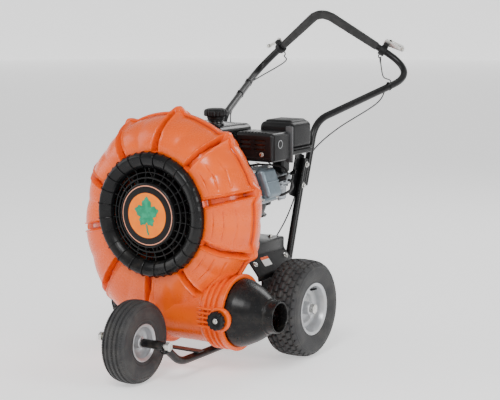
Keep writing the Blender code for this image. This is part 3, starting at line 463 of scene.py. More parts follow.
def eased(corners: Path, reach: float = 1.0, steps: int = 3, closed: bool = False) -> list[tuple]:
    """Round every corner of a polyline.

    Args:
        corners: the polyline's points.
        reach: length of each edge that a rounding takes, at most 45% of the edge.
        steps: segments in a rounding.
        closed: whether the last point meets the first.

    Returns:
        The points of the rounded line.
    """
    points = [np.array(c, float) for c in corners]
    count = len(points)
    made = []
    for k, point in enumerate(points):
        if not closed and k in (0, count - 1):
            made.append(tuple(point))
            continue
        before, after = points[k - 1] - point, points[(k + 1) % count] - point
        back = before * min(0.45, reach / max(np.linalg.norm(before), 1e-6))
        ahead = after * min(0.45, reach / max(np.linalg.norm(after), 1e-6))
        for step in range(steps + 1):
            t = step / steps
            made.append(tuple(point + back * (1 - t) ** 2 + ahead * t ** 2))
    return made


def turned(profile: Profile, centre: Sequence[float], axis: Vector, sides: int = 48, closed: bool = False,
           wobble: Optional[Callable[[np.ndarray, np.ndarray, np.ndarray], np.ndarray]] = None
           ) -> bpy.types.Object:
    """Turn a profile about an axis.

    Args:
        profile: radius and height along the axis, one pair after another.
        centre: point on the axis with height 0.
        axis: direction of the height.
        sides: columns around.
        closed: whether the profile's end meets its start.
        wobble: adds millimetres to the radius for angle, radius and height.

    Returns:
        The turned mesh object.
    """
    line = np.array(list(profile) + ([profile[0]] if closed else []), float)
    angles = np.arange(sides) * 2 * pi / sides
    radius = np.repeat(line[:, :1], sides, axis=1)
    height = np.repeat(line[:, 1:], sides, axis=1)
    turn = np.repeat(angles[None, :], len(line), axis=0)
    if wobble is not None:
        radius = radius + wobble(turn, radius, height)
    u, v, w = (np.array(part) for part in axis_frame(axis))
    points = (np.array(centre, float) + (radius * np.cos(turn))[..., None] * u
              + (radius * np.sin(turn))[..., None] * v + height[..., None] * w)
    return skin(points)


def flowing(points: Path, steps: int = 6) -> list[Vector]:
    """Smooth curve through the points."""
    line = [Vector(p) for p in points]
    padded = [line[0] * 2 - line[1]] + line + [line[-1] * 2 - line[-2]]
    made = []
    for k in range(len(line) - 1):
        a, b, c, d = padded[k:k + 4]
        for step in range(steps):
            t = step / steps
            made.append(0.5 * (b * 2 + (c - a) * t + (a * 2 - b * 5 + c * 4 - d) * t * t
                               + (b * 3 - a - c * 3 + d) * t ** 3))
    return made + [line[-1]]


def bent(points: Path, reaches: Sequence[float], steps: int = 10) -> list[Vector]:
    """Straight runs joined by bends that take the given reach of each run."""
    line = [Vector(p) for p in points]
    made = [line[0]]
    for before, corner, after, reach in zip(line, line[1:], line[2:], reaches):
        start = corner + (before - corner).normalized() * reach
        end = corner + (after - corner).normalized() * reach
        for k in range(steps + 1):
            t = k / steps
            made.append(start * (1 - t) ** 2 + corner * 2 * t * (1 - t) + end * t ** 2)
    return made + [line[-1]]


def tube(path: Sequence[Vector], radius: float | Sequence[float], sides: int = 24, flat: float = 1.0
         ) -> bpy.types.Object:
    """Sweep a round bar along a path, with closed and slightly rounded ends.

    Args:
        path: centre line.
        radius: one radius, or one for each point of the path.
        sides: columns around.
        flat: height of the section divided by its width.

    Returns:
        The swept mesh object.
    """
    line = [Vector(p) for p in path]
    sizes = [radius] * len(line) if isinstance(radius, (int, float)) else list(radius)
    tangents = [(line[min(k + 1, len(line) - 1)] - line[max(k - 1,
                                                            0)]).normalized() for k in range(len(line))]
    side = tangents[0].orthogonal().normalized()
    angles = np.arange(sides) * 2 * pi / sides
    rows = []
    for k, (point, along, size) in enumerate(zip(line, tangents, sizes)):
        side = (side - along * side.dot(along)).normalized()
        up = along.cross(side)
        ring = (np.cos(angles)[:, None] * np.array(side) + np.sin(angles)[:, None] * np.array(up) * flat)
        ends = {0: [(0.0, 0.0), (0.86, 0.0)], len(line) - 1: [(0.86, 0.0), (0.0, 0.0)]}.get(k, [])
        inset = along * size * 0.14 * (1 if k == 0 else -1)
        section = [np.array(point) + ring * size * grow for grow, _ in ends]
        body = np.array(point + inset) + ring * size if ends else np.array(point) + ring * size
        rows += ([*section, body] if k == 0 else [body, *section])
    return skin(np.array(rows))


def bevelled(made: bpy.types.Object, width: float, segments: int = 3,
             angle: float = 35.0) -> bpy.types.Object:
    """Round the sharp edges of a mesh."""
    clear_selection()
    made.select_set(True)
    bpy.context.view_layer.objects.active = made
    change = made.modifiers.new("rounding", "BEVEL")
    change.width, change.segments = width * MM, segments
    change.limit_method, change.angle_limit = "ANGLE", radians(angle)
    change.use_clamp_overlap = True
    bpy.ops.object.modifier_apply(modifier=change.name)
    return made


def block(low: Sequence[float], high: Sequence[float], bevel: float = 2.0, segments: int = 3
          ) -> bpy.types.Object:
    """Rounded block between two corners."""
    low, high = Vector(low), Vector(high)
    clear_selection()
    bpy.ops.mesh.primitive_cube_add(size=1, location=world((low + high) / 2), scale=(high - low) * MM)
    bpy.ops.object.transform_apply(location=True, rotation=True, scale=True)
    made = bpy.context.object
    return bevelled(made, bevel, segments) if bevel else made


def plate(outline: Profile, origin: Sequence[float], across: Vector, up: Vector, depth: Vector,
          bevel: float = 1.0, segments: int = 2) -> bpy.types.Object:
    """Cut a plate to an outline and extrude it.

    Args:
        outline: (across, up) pairs.
        origin: where the outline's zero is.
        across: direction of the first number.
        up: direction of the second number.
        depth: thickness as a vector.
        bevel: rounding of its edges.
        segments: segments in a rounding.

    Returns:
        The plate's mesh object.
    """
    clear_selection()
    bpy.ops.mesh.primitive_circle_add(vertices=len(outline), fill_type="NGON")
    made = bpy.context.object
    for vertex, (a, b) in zip(made.data.vertices, outline):
        vertex.co = world(Vector(origin) + Vector(across) * a + Vector(up) * b)
    edit_all(lambda: bpy.ops.mesh.extrude_region_move(
        TRANSFORM_OT_translate={"value": tuple(Vector(depth) * MM)}),
        lambda: bpy.ops.mesh.select_all(action="SELECT"), outward)
    return bevelled(made, bevel, segments) if bevel else made


def transformed(made: bpy.types.Object, change: Matrix) -> bpy.types.Object:
    """Move a mesh by a matrix in bench millimetres."""
    whole = Matrix.Translation(DATUM) @ Matrix.Scale(MM, 4)
    made.data.transform(whole @ change @ whole.inverted())
    made.data.update()
    return made


def twin(made: bpy.types.Object, change: Matrix) -> bpy.types.Object:
    """Copy of a piece with a mesh of its own, moved by a matrix in bench millimetres."""
    copy = made.copy()
    copy.data = made.data.copy()
    bpy.context.scene.collection.objects.link(copy)
    return transformed(copy, change)


def around(made: bpy.types.Object, centre: Sequence[float], axis: Vector, count: int, start: float = 0.0
           ) -> list[bpy.types.Object]:
    """Copies of a piece spread evenly about an axis; the first one replaces the piece."""
    place = Matrix.Translation(Vector(centre))
    copies = []
    for k in range(count):
        turn = Matrix.Rotation(start + 2 * pi * k / count, 4, axis)
        copies.append(twin(made, place @ turn @ place.inverted()))
    bpy.data.objects.remove(made, do_unlink=True)
    return copies


def joined(*parts: bpy.types.Object) -> bpy.types.Object:
    """Join several meshes into one object."""
    clear_selection()
    for part in parts:
        part.select_set(True)
    bpy.context.view_layer.objects.active = parts[0]
    bpy.ops.object.join()
    return parts[0]


def carved(made: bpy.types.Object, *tools: bpy.types.Object) -> bpy.types.Object:
    """Cut the tools out of a mesh."""
    for tool in tools:
        clear_selection()
        made.select_set(True)
        bpy.context.view_layer.objects.active = made
        change = made.modifiers.new("cut", "BOOLEAN")
        change.operation, change.solver, change.object = "DIFFERENCE", "EXACT", tool
        bpy.ops.object.modifier_apply(modifier=change.name)
        bpy.data.objects.remove(tool, do_unlink=True)
    return made


def hex_bolt(tip: Sequence[float], out: Vector, size: float = 8.0, tall: float = 5.0) -> bpy.types.Object:
    """Hexagon bolt head on its washer, seated at a point and facing out."""
    head = turned(eased([(0, tall + 1.4), (size * 0.94, tall + 1.4), (size, tall + 0.6), (size, 1.2),
                         (0, 1.2)],
                        0.4, 1), tip, out, 6)
    washer = turned(eased([(0, 1.4), (size * 1.35, 1.4), (size * 1.45, 0.7), (size * 1.45, -0.6),
                           (0, -0.6)],
                          0.3, 1), tip, out, 24)
    return joined(head, washer)


def hand_over(made: bpy.types.Object, name: str, body: Body, material: bpy.types.Material,
              replaces: Sequence[str] = (), smooth: float = SMOOTH_ANGLE) -> bpy.types.Object:
    """Name, dress and seat a finished piece.

    Args:
        made: the mesh object.
        name: the piece's name.
        body: body that it rides on.
        material: its finish.
        replaces: CAD nodes that it stands for.
        smooth: faces meeting at less than this angle are shaded as one.

    Returns:
        The finished object.
    """
    made.name = made.data.name = name
    made.data.materials.clear()
    made.data.materials.append(material)
    clear_selection()
    made.select_set(True)
    bpy.context.view_layer.objects.active = made
    bpy.ops.object.shade_smooth_by_angle(angle=smooth)
    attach(made, body.value)
    if replaces:
        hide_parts(*replaces)
    log.info("%s: %d faces on %s", name, len(made.data.polygons), body.value)
    return made


def step_up(value: np.ndarray, low: float, high: float) -> np.ndarray:
    """Smooth step from 0 at low to 1 at high."""
    t = np.clip((value - low) / (high - low), 0, 1)
    return t * t * (3 - 2 * t)


# ------------------------------------------------------------------ blower housing


@dataclass
class Housing:
    """Two-part scroll with puffed panels, channels at its lugs, a ringed collar and a knob boss."""

    finishes: Finishes
    shaft_z: float = 515.0
    face_y: float = -415.0
    split_y: float = -290.0
    back_y: float = -190.0
    eye: float = 202.0
    scroll: float = 311.0
    back: float = 236.0
    duct_z: float = 198.0
    duct: float = 111.0
    duct_end: float = 262.0
    collar: float = 126.0
    flange: float = 12.0
    lug_phase: float = 4.0
    lug_pitch: float = 36.0
    lug_rise: float = 20.0
    lug_half: float = 38.0
    channel: float = 13.0
    channel_depth: float = 25.0
    lip: float = 5.0
    channel_taper: float = 0.35
    channel_wall: float = 4.0
    lip_away: float = 2.8
    lip_width: float = 2.4
    cap_at: float = 0.955
    cap_width: float = 0.018
    puff: float = 7.0
    wall: float = 5.0
    knob_x: float = 256.0
    collar_start: float = 178.0
    collar_pitch: float = 19.0
    collar_rings: int = 4
    bar_count: int = 5
    bar_pitch: float = 14.5
    arc_radii: tuple = (232.0, 262.0, 292.0)
    arc_width: float = 1.8
    arc_depth: float = 3.0

    def angles(self) -> np.ndarray:
        """Column angles in degrees, crowded at the channels."""
        near = np.arange(-6.8, 6.81, 0.4)
        fine = np.concatenate([(self.lug_phase + self.lug_pitch * k + near) % 360 for k in range(10)])
        coarse = np.arange(0, 360, 1.5)
        off = np.abs((coarse[:, None] - (self.lug_phase + self.lug_pitch * np.arange(10))[None] + 180) % 360
                     - 180).min(1)
        return np.sort(np.concatenate([fine, coarse[off > 7.3]]))

    def rim(self, angle: np.ndarray) -> np.ndarray:
        """Radius of the scroll at an angle, clockwise from the top seen from the front."""
        bottom = self.shaft_z - self.duct_z + self.duct
        grow = np.where(angle < 180, (angle - 140) / 40, (290 - angle) / 110)
        grow = np.clip(grow, 0, 1)
        return self.scroll + (bottom - self.scroll) * grow * grow * (3 - 2 * grow)

    def from_lug(self, angle: np.ndarray) -> np.ndarray:
        """Degrees from the nearest lug."""
        half = self.lug_pitch / 2
        return (angle - self.lug_phase + half) % self.lug_pitch - half

    def ear(self, angle: np.ndarray, radius: np.ndarray) -> np.ndarray:
        """Height of the lugs beyond the rim; there are none where the duct leaves."""
        away = np.radians(np.abs(self.from_lug(angle))) * radius
        bell = np.cos(np.clip(away / self.lug_half, 0, 1) * pi / 2) ** 2
        return self.lug_rise * bell * np.where((angle > 136) & (angle < 204), 0.0, 1.0)

    def panel(self, angle: np.ndarray, turn: np.ndarray, side: float, inset: float = 0.0
              ) -> tuple[np.ndarray, np.ndarray]:
        """Radius and Y of a shell's skin.

        Args:
            angle: column angles in degrees.
            turn: 0 at the inner edge to 1 at the parting line.
            side: -1 for the front shell, 1 for the rear.
            inset: distance in from the outside.

        Returns:
            Radius and Y arrays.
        """
        base = self.eye if side < 0 else self.back
        depth = (self.split_y - self.face_y) if side < 0 else (self.back_y - self.split_y)
        rim = self.rim(angle)
        quarter = turn * pi / 2
        radius = base + (rim - base) * np.sin(quarter)
        height = depth * np.cos(quarter)
        normal_r = np.sin(quarter) / np.maximum(rim - base, 1)
        normal_y = np.cos(quarter) / depth
        length = np.hypot(normal_r, normal_y)
        normal_r, normal_y = normal_r / length, normal_y / length
        away = self.from_lug(angle)
        strip = np.abs(np.radians(away) * radius)
        open_end = 1 - step_up(turn, 0.90, 0.95)
        open_start = step_up(turn, -0.02, 0.04) if side < 0 else step_up(turn, 0.10, 0.2)
        reach = open_end * open_start
        width = self.channel * (1.0 - self.channel_taper * turn)
        groove = (1 - step_up(strip, width - self.channel_wall, width)) * reach
        lips = np.exp(-((strip - width - self.lip_away) / self.lip_width) ** 2)
        lips = lips * open_start * (1 - step_up(turn, 0.95, 0.985))
        cap = np.exp(-((turn - self.cap_at) / self.cap_width) ** 2) * np.where(strip < width + 3, 1.0, 0.0)
        rise = (self.puff * (1 - np.abs(away / 18) ** 3) * np.sin(pi * turn) ** 0.7
                - self.channel_depth * groove + self.lip * np.maximum(lips, cap * 0.8))
        bulge = self.ear(angle, radius) * step_up(turn, 0.60, 1.0) * (1 - groove)
        rise = rise - inset
        return radius + normal_r * rise + bulge, self.split_y + side * (height + normal_y * rise)

    def arcs(self, angle: np.ndarray, radius: np.ndarray) -> np.ndarray:
        """Depth of the fine lines that run round the panels on the outlet side."""
        inside = step_up(angle, 50, 51) * (1 - step_up(angle, 140, 141))
        clear = step_up(np.abs(self.from_lug(angle)), 6.0, 7.5)
        total = np.zeros_like(radius)
        for at in self.arc_radii:
            total += np.exp(-((radius - at) / self.arc_width) ** 2)
        return total * inside * clear * self.arc_depth

    def shell(self, side: float) -> bpy.types.Object:
        """One closed shell: its outside with the flange, then its inside."""
        angle = self.angles()
        turns = np.linspace(0, 0.955, 66 if side < 0 else 34)
        rows = []

        def ring(radius: np.ndarray, y: np.ndarray | float) -> None:
            """Add a ring of points."""
            a = np.radians(angle)
            rows.append(np.stack([radius * np.sin(a), np.broadcast_to(y, angle.shape),
                                  self.shaft_z + radius * np.cos(a)], axis=-1))

        flat = np.ones_like(angle)
        if side > 0:
            ring(flat * 45, self.back_y - 4)
            ring(flat * 45, self.back_y)
            for radius in (60, 110, 160, 200, 226):
                ring(flat * radius, self.back_y + (1.2 if radius in (110, 160) else 0))
        else:
            ring(flat * (self.eye - 6), self.face_y + 16)
            ring(flat * (self.eye - 6), self.face_y + 1.5)
            ring(flat * (self.eye - 4.5), self.face_y)
        for turn in turns:
            radius, y = self.panel(angle, np.full_like(angle, turn), side)
            if side < 0:
                cut = self.arcs(angle, radius)
                radius, y = radius - cut * 0.6, y + cut * 0.8
            ring(radius, y)
        rim = self.rim(angle)
        grow = self.flange + self.ear(angle, rim) - np.where((angle > 140) & (angle < 200), 8.0, 0.0)
        tall = 9.0 if side < 0 else 7.0
        for out, back in ((0.30, 1.4), (0.45, 0.3), (0.85, 0.0), (0.96, 0.4), (1.0, 1.8)):
            ring(rim + grow * out, self.split_y + side * (tall - back))
        ring(rim + grow, self.split_y + side * 0.3)
        ring(rim - 2, self.split_y + side * 0.3)
        for turn in turns[::-1][::4]:
            radius, y = self.panel(angle, np.full_like(angle, turn), side, self.wall)
            ring(np.minimum(radius, rim - 4), y)
        rows.append(rows[0])
        return skin(np.array(rows))

    def duct_ring(self, profile: Profile, sides: int = 72, closed: bool = True) -> bpy.types.Object:
        """Ring turned about the duct's axis; heights are X."""
        return turned(profile, (0, self.split_y, self.duct_z), X, sides, closed)

    def make_duct(self) -> bpy.types.Object:
        """Outlet duct, its flange under the eye, the collar's rings and the knob boss."""
        low, high = self.collar - 8, self.collar
        outline = [(self.duct - 6, -30), (self.duct, -34), (self.duct, -24), (self.duct + 16, -20),
                   (self.duct + 19, -14), (self.duct + 18, 2), (self.duct + 13, 7), (self.duct + 4, 10),
                   (self.duct, 15), (self.duct - 0.6, 100), (self.duct, 168), (low - 3, 176)]
        for k in range(self.collar_rings):
            start = self.collar_start + self.collar_pitch * k
            outline += [(low - 2, start), (low - 2, start + 8), (high - 1, start + 10),
                        (high - 1, start + 16),
                        (low - 2, start + 18)]
        outline = outline[:-1] + [(high, self.duct_end - 5), (high, self.duct_end - 1),
                                  (high - 2, self.duct_end),
                                  (self.duct + 1, self.duct_end), (self.duct + 1, self.duct_end - 4),
                                  (self.duct - 6, self.duct_end - 6)]
        body = self.duct_ring(eased(outline, 1.6, 2, True), 96)
        boss_y = self.split_y - self.collar - 6
        centre = (self.knob_x, boss_y, self.duct_z)
        boss = turned(eased([(0, 26), (34, 26), (40, 12), (39, 2), (36, 0), (30, 0), (29, 3), (0, 3)], 1.5,
                            3),
                      centre, Y, 56)
        bars = []
        for k in range(self.bar_count):
            z = self.duct_z + (k - self.bar_count // 2) * self.bar_pitch
            bars.append(block((170, boss_y + 3, z - 3.4), (228, boss_y + 26, z + 3.4), 2.4))
        foot = block((200, boss_y + 14, self.duct_z - 36), (250, boss_y + 40, self.duct_z + 36), 9, 4)
        return joined(body, boss, foot, *bars)

    def build(self) -> None:
        """Build and seat the housing's pieces."""
        front = self.shell(-1)
        hand_over(front, "housing_front", Body.FRAME, self.finishes.orange,
                  ["housing_front_shell"])
        rear = self.shell(1)
        hand_over(rear, "housing_rear", Body.FRAME, self.finishes.orange,
                  ["housing_rear_shell"])
        hand_over(self.make_duct(), "housing_outlet", Body.FRAME, self.finishes.orange)


# ------------------------------------------------------------------ intake grille


@dataclass
class Grille:
    """Rounded intake ring with thin ribs, two hoops and a ringed badge."""

    finishes: Finishes
    centre: tuple = (0.0, 0.0, 515.0)
    ribs: int = 24
    outer: float = 210.0
    throat: float = 152.0

    def notch(self, turn: np.ndarray, radius: np.ndarray, height: np.ndarray) -> np.ndarray:
        """Bead at each rib where it crosses the ring's outer edge."""
        pitch = 2 * pi / self.ribs
        away = np.abs((turn + pitch / 2) % pitch - pitch / 2) * radius
        edge = step_up(radius, 196, 201) * step_up(-height, 418, 424)
        return np.where(away < 4, 3.0, 0.0) * edge

    def build(self) -> None:
        """Build the ring, its ribs, hoops, hub and the badge."""
        section = [(202, -415.8), (203.4, -424), (202, -433), (198, -440.5), (193, -445.6), (187, -447.2),
                   (181, -446.6), (171, -443), (162, -437), (155.5, -430), (152, -422), (151, -415.8)]
        ring = turned(eased(section, 2.5, 3, True), self.centre, Y, 240, True, self.notch)
        line = [(150.5, -419.5), (153.5, -431), (161, -438.6), (170.5, -444.7), (181, -448.4),
                (190, -449.0),
                (194, -447.4), (200, -441.6), (203.8, -433.5), (205.0, -424), (203, -418)]
        path = flowing([(r, y, 515) for r, y in line], 3)
        seam = tube(path, 1.5, 8)
        seams = around(seam, self.centre, Y, self.ribs, pi / self.ribs)
        fin = plate([(98, -441), (112, -433), (140, -424), (156, -428), (160, -436), (160, -418),
                     (98, -418)],
                    (0, 0, 515 - 1.3), X, Y, Vector((0, 0, 2.6)), 0.5, 1)
        fins = around(fin, self.centre, Y, self.ribs, pi / self.ribs)
        hoops = [turned(eased([(r - w, y), (r + w, y), (r + w, y + 11), (r - w, y + 11)], 0.8, 2, True),
                        self.centre, Y, 96, True)
                 for r, w, y in ((121, 2.4, -432.5), (138, 1.6, -427))]
        hub = turned(eased([(0, -439.5), (98.6, -439.5), (99.4, -445), (102.5, -446), (106, -443.5),
                            (107, -436),
                            (106, -418), (0, -418)], 1.2, 3), self.centre, Y, 96)
        whole = joined(ring, *seams, *fins, *hoops, hub)
        hand_over(whole, "grille", Body.FRAME, self.finishes.grille, ["intake_grille"])
        disc = turned(eased([(0, -446.6), (50, -446.2), (85, -444.9), (97.6, -443.6), (98.2, -442.4),
                             (98.2, -440.2), (0, -440.2)], 0.8, 2), self.centre, Y, 96)
        hand_over(disc, "badge_disc", Body.FRAME, self.finishes.badge, ["intake_badge"])
        self.build_leaf()

    def build_leaf(self) -> None:
        """Plain five-lobed leaf in low relief on the badge."""
        steps = 180
        outline = []
        for k in range(steps):
            a = 2 * pi * k / steps
            lobes = 0.62 + 0.30 * abs(cos(a * 2.5)) ** 1.6 + 0.05 * cos(a * 15)
            size = 52 * lobes * (1.0 + 0.16 * cos(a))
            outline.append((size * sin(a) * 0.92, size * cos(a) + 3))
        leaf = plate(outline, (0, -445.6, 515), X, Z, Vector((0, -2.4, 0)), 0.8, 2)
        stalk = tube(flowing([(0, -446.8, 486), (2, -446.8, 470), (7, -446.4, 452)], 6), 2.6, 10)
        hand_over(joined(leaf, stalk), "badge_leaf", Body.FRAME, self.finishes.leaf)


# ------------------------------------------------------------------ nozzle


@dataclass
class Nozzle:
    """Swivelling outlet nozzle and its fluted lock knob."""

    finishes: Finishes
    axis: tuple = (0.0, -290.0, 198.0)
    knob: tuple = (256.0, -422.3, 198.0)

    def build(self) -> None:
        """Build the nozzle, its latch and the knob."""
        outer = [(103, 222), (103, 262.6), (109.5, 262.8), (111.2, 266), (111.0, 271), (107.5, 285),
                 (101, 300),
                 (92.5, 318), (82, 337), (71, 353), (62, 365), (58.5, 370), (58.5, 374), (53.6, 376),
                 (52.6, 384),
                 (51.6, 402), (51, 405.4), (49.4, 406)]
        inner = [(46.6, 405.4), (46, 402), (48, 384), (52, 370), (64, 352), (77, 332), (92, 304), (98, 280),
                 (99, 262), (99, 222)]
        cone = turned(eased(outer + inner, 1.6, 2, True), self.axis, X, 112, True)
        seam_line = [(111.4, 267), (108, 285), (101.4, 300), (92.9, 318), (82.4, 337), (71.4, 353),
                     (62.4, 365),
                     (59, 372)]
        path = flowing([(x, -290 - r, 198) for r, x in seam_line], 3)
        seam = tube(path, 0.9, 8)
        away = tube(flowing([(x, -290 + r, 198) for r, x in seam_line], 3), 0.9, 8)
        hand_over(joined(cone, seam, away), "nozzle_cone", Body.NOZZLE,
                  self.finishes.nozzle,
                  ["discharge_nozzle"])
        latch = joined(block((352, -290 + 14, 266), (372, -290 + 26, 272), 1.5),
                       hex_bolt((362, -270, 271), Vector((0.5, 0, 1)), 5, 3))
        transformed(latch, Matrix.Translation(Vector(self.axis)) @ Matrix.Rotation(radians(-78), 4, "X")
                    @ Matrix.Translation(-Vector(self.axis)))
        hand_over(latch, "nozzle_latch", Body.NOZZLE, self.finishes.zinc)

        def flutes(turn: np.ndarray, radius: np.ndarray, height: np.ndarray) -> np.ndarray:
            """Grip flutes round the knob."""
            return -3.2 * (0.5 - 0.5 * np.cos(turn * 12)) ** 2.2 * step_up(radius, 22, 28)

        grip = turned(eased([(0, 10), (5.5, 10), (5.5, 0), (16, 0), (29, -4), (31, -7), (31, -18),
                             (29, -22),
                             (23, -23.4), (13, -22), (12, -18.6), (0, -18.6)], 1.3, 3), self.knob, Y, 144,
                      wobble=flutes)
        hand_over(grip, "lock_knob", Body.KNOB, self.finishes.plastic, ["nozzle_knob"])
        stud = hex_bolt((256, -422.3 - 18.4, 198), -Y, 6.4, 3.4)
        hand_over(stud, "lock_knob_stud", Body.KNOB, self.finishes.zinc)


# ------------------------------------------------------------------ wheels


@dataclass
class Wheels:
    """Two turf-tread rear wheels and one narrow front wheel."""

    finishes: Finishes
    rear_radius: float = 165.0
    rear_half: float = 62.0
    rear_bead: float = 88.0
    track: float = 317.0
    front_radius: float = 133.5
    front_half: float = 43.0
    front_bead: float = 59.0
    front_centre: tuple = (40.0, -574.0, 133.5)

    def carcass(self, radius: float, half: float, bead: float) -> np.ndarray:
        """Tyre section from bead to bead, as pairs of radius and height."""
        side = [(bead, half * 0.78), (bead + 3, half * 0.86), (bead + 12, half * 0.90),
                (bead + (radius - bead) * 0.45, half * 0.995),
                (bead + (radius - bead) * 0.66, half * 0.985),
                (radius - 13, half * 0.90), (radius - 7, half * 0.80), (radius - 2.6, half * 0.62),
                (radius - 0.7, half * 0.36), (radius, 0.0)]
        line = np.array([tuple(p)[:2] for p in flowing([(r, h, 0) for r, h in side], 6)])
        other = line[::-1][1:] * np.array([1, -1])
        return np.concatenate([line, other])

    def turf(self, turn: np.ndarray, across: np.ndarray, radius: np.ndarray) -> np.ndarray:
        """Depth cut between small tread blocks in five staggered rows."""
        pitch, rows = 2 * pi / 34, (-46.0, -28.0, -10.0, 10.0, 28.0, 46.0)
        depth = np.zeros_like(turn)
        for at in rows:
            depth = np.maximum(depth, 1 - step_up(np.abs(across - at), 1.6, 3.2))
        band = np.floor((across + 46) / 18.4)
        shift = np.where(np.mod(band, 2) == 0, 0.0, 0.5) + np.abs(across) * 0.010
        phase = np.mod(turn / pitch + shift, 1.0)
        gap = np.minimum(phase, 1 - phase) * pitch * radius
        depth = np.maximum(depth, 1 - step_up(gap, 2.0, 3.8))
        tread = step_up(radius, 147, 153)
        return depth * 6.0 * tread

    def ribbed(self, turn: np.ndarray, across: np.ndarray, radius: np.ndarray) -> np.ndarray:
        """Depth of four running grooves with sawtooth walls and fine sipes."""
        depth = np.zeros_like(turn)
        saw = np.mod(turn * 96 / (2 * pi), 1.0)
        for at in (-24.0, -8.5, 8.5, 24.0):
            edge = 1.5 + 1.8 * saw
            depth = np.maximum(depth, 1 - step_up(np.abs(across - at), edge, edge + 1.2))
        shoulder = step_up(np.abs(across), 31, 33) * (1 - step_up(saw, 0.30, 0.46)) * 0.7
        return (depth * 4.6 + shoulder * 3.4) * step_up(radius, 119, 122)

    def tyre(self, centre: Sequence[float], radius: float, half: float, bead: float, columns: int,
             tread: Callable) -> bpy.types.Object:
        """Tyre with its cut tread, moulded sidewall rings and closed inside."""
        line = self.carcass(radius, half, bead)
        turn = np.repeat((np.arange(columns) * 2 * pi / columns)[None, :], len(line), axis=0)
        r = np.repeat(line[:, :1], columns, axis=1)
        h = np.repeat(line[:, 1:], columns, axis=1)
        span = radius - bead
        for at, tall in ((0.20, 1.2), (0.30, 0.8), (0.72, 1.6)):
            lift = np.exp(-((r - bead - span * at) / 1.4) ** 2) * tall
            h = h + np.sign(h) * lift * np.where(np.abs(h) > half * 0.7, 1, 0)
        cut = tread(turn, h, r)
        r = r - cut * np.where(np.abs(h) > half * 0.86, 0.5, 1.0)
        u, v, w = (np.array(part) for part in axis_frame(X))
        inner = [(bead, -half * 0.7), (bead, half * 0.7)]
        points = (np.array(centre) + (r * np.cos(turn))[..., None] * u + (r * np.sin(turn))[..., None] * v
                  + h[..., None] * w)
        closing = []
        for size, height in inner:
            closing.append(np.array(centre) + size * np.cos(turn[0])[:, None] * u
                           + size * np.sin(turn[0])[:, None] * v + height * w)
        return skin(np.concatenate([points, np.array(closing), points[:1]]))

    def rear_rim(self, side: float) -> bpy.types.Object:
        """Pressed steel rim: rolled edges, stepped dish and hub."""
        s = side
        seat, edge = self.rear_bead - 1.4, self.rear_half * 0.80
        profile = [(10.2, -46 * s), (22, -46 * s), (22, 2 * s), (36, 6 * s), (46, 4 * s), (52, 14 * s),
                   (64, 18 * s),
                   (70, 16 * s), (75, 8 * s), (77, 30 * s), (80, (edge - 4) * s),
                   (seat + 1, (edge + 1) * s),
                   (seat + 3, (edge + 3.5) * s), (seat + 1, (edge + 4.5) * s), (78, (edge + 1.5) * s),
                   (73, 34 * s), (71, 20 * s), (64, 23 * s), (50, 20 * s), (44, 9 * s), (35, 11 * s),
                   (22.5, 8 * s),
                   (22, 40 * s), (18, 43 * s), (10.2, 43 * s)]
        rear = [(10.2, -46 * s), (22, -46 * s), (24, -2 * s), (60, 10 * s), (70, 6 * s), (72, -30 * s),
                (seat - 1, -(edge - 2) * s), (seat + 2, -(edge + 3) * s), (seat, -(edge + 1) * s),
                (75, -34 * s),
                (75, 8 * s)]
        centre = (s * self.track, 0, self.rear_radius)
        outer = turned(eased(profile, 2.2, 3, True), centre, X, 80, True)
        inside = turned(eased(rear, 1.5, 2, True), centre, X, 80, True)
        return joined(outer, inside)

    def build(self) -> None:
        """Build the wheels, their rims and valves."""
        f = self.finishes
        for side, label, body in ((1, "left", Body.LEFT_WHEEL), (-1, "right", Body.RIGHT_WHEEL)):
            centre = (side * self.track, 0, self.rear_radius)
            made = self.tyre(centre, self.rear_radius, self.rear_half, self.rear_bead, 510, self.turf)
            hand_over(made, f"turf_tyre_{label}", body, f.rubber, [f"rear_tyre_{label}"])
            rim = self.rear_rim(side)
            hand_over(rim, f"disc_rim_{label}", body, f.silver, [f"rear_rim_{label}"])
            x = side * (self.track + 20)
            valve = tube([Vector((x, 30, 222)), Vector((x + side * 16, 31, 226)),
                          Vector((x + side * 24, 32, 228))],
                         [4.2, 3.4, 3.0], 12)
            hand_over(valve, f"tyre_valve_{label}", body, f.plastic)
        made = self.tyre(self.front_centre, self.front_radius, self.front_half, self.front_bead, 576,
                         self.ribbed)
        hand_over(made, "ribbed_tyre_front", Body.FRONT_WHEEL, f.rubber, ["front_tyre"])
        profile = []
        for s in (1, -1):
            half = [(17, 29), (19, 27), (19, 8), (27, 4), (40, 6), (47, 15), (49.5, 24), (52, 31), (59, 36),
                    (61, 37.5), (59, 38.5), (50, 34), (46, 27)]
            profile.append([(r, h * s) for r, h in half])
        section = profile[0][:-1] + [(50, 20), (50, -20)] + profile[1][:-1][::-1] + [(9.2, -29), (9.2, 29)]
        rim = turned(eased(section, 1.6, 3, True), self.front_centre, X, 72, True)
        hand_over(rim, "disc_rim_front", Body.FRONT_WHEEL, f.silver, ["front_rim"])


# ------------------------------------------------------------------ chassis and handle


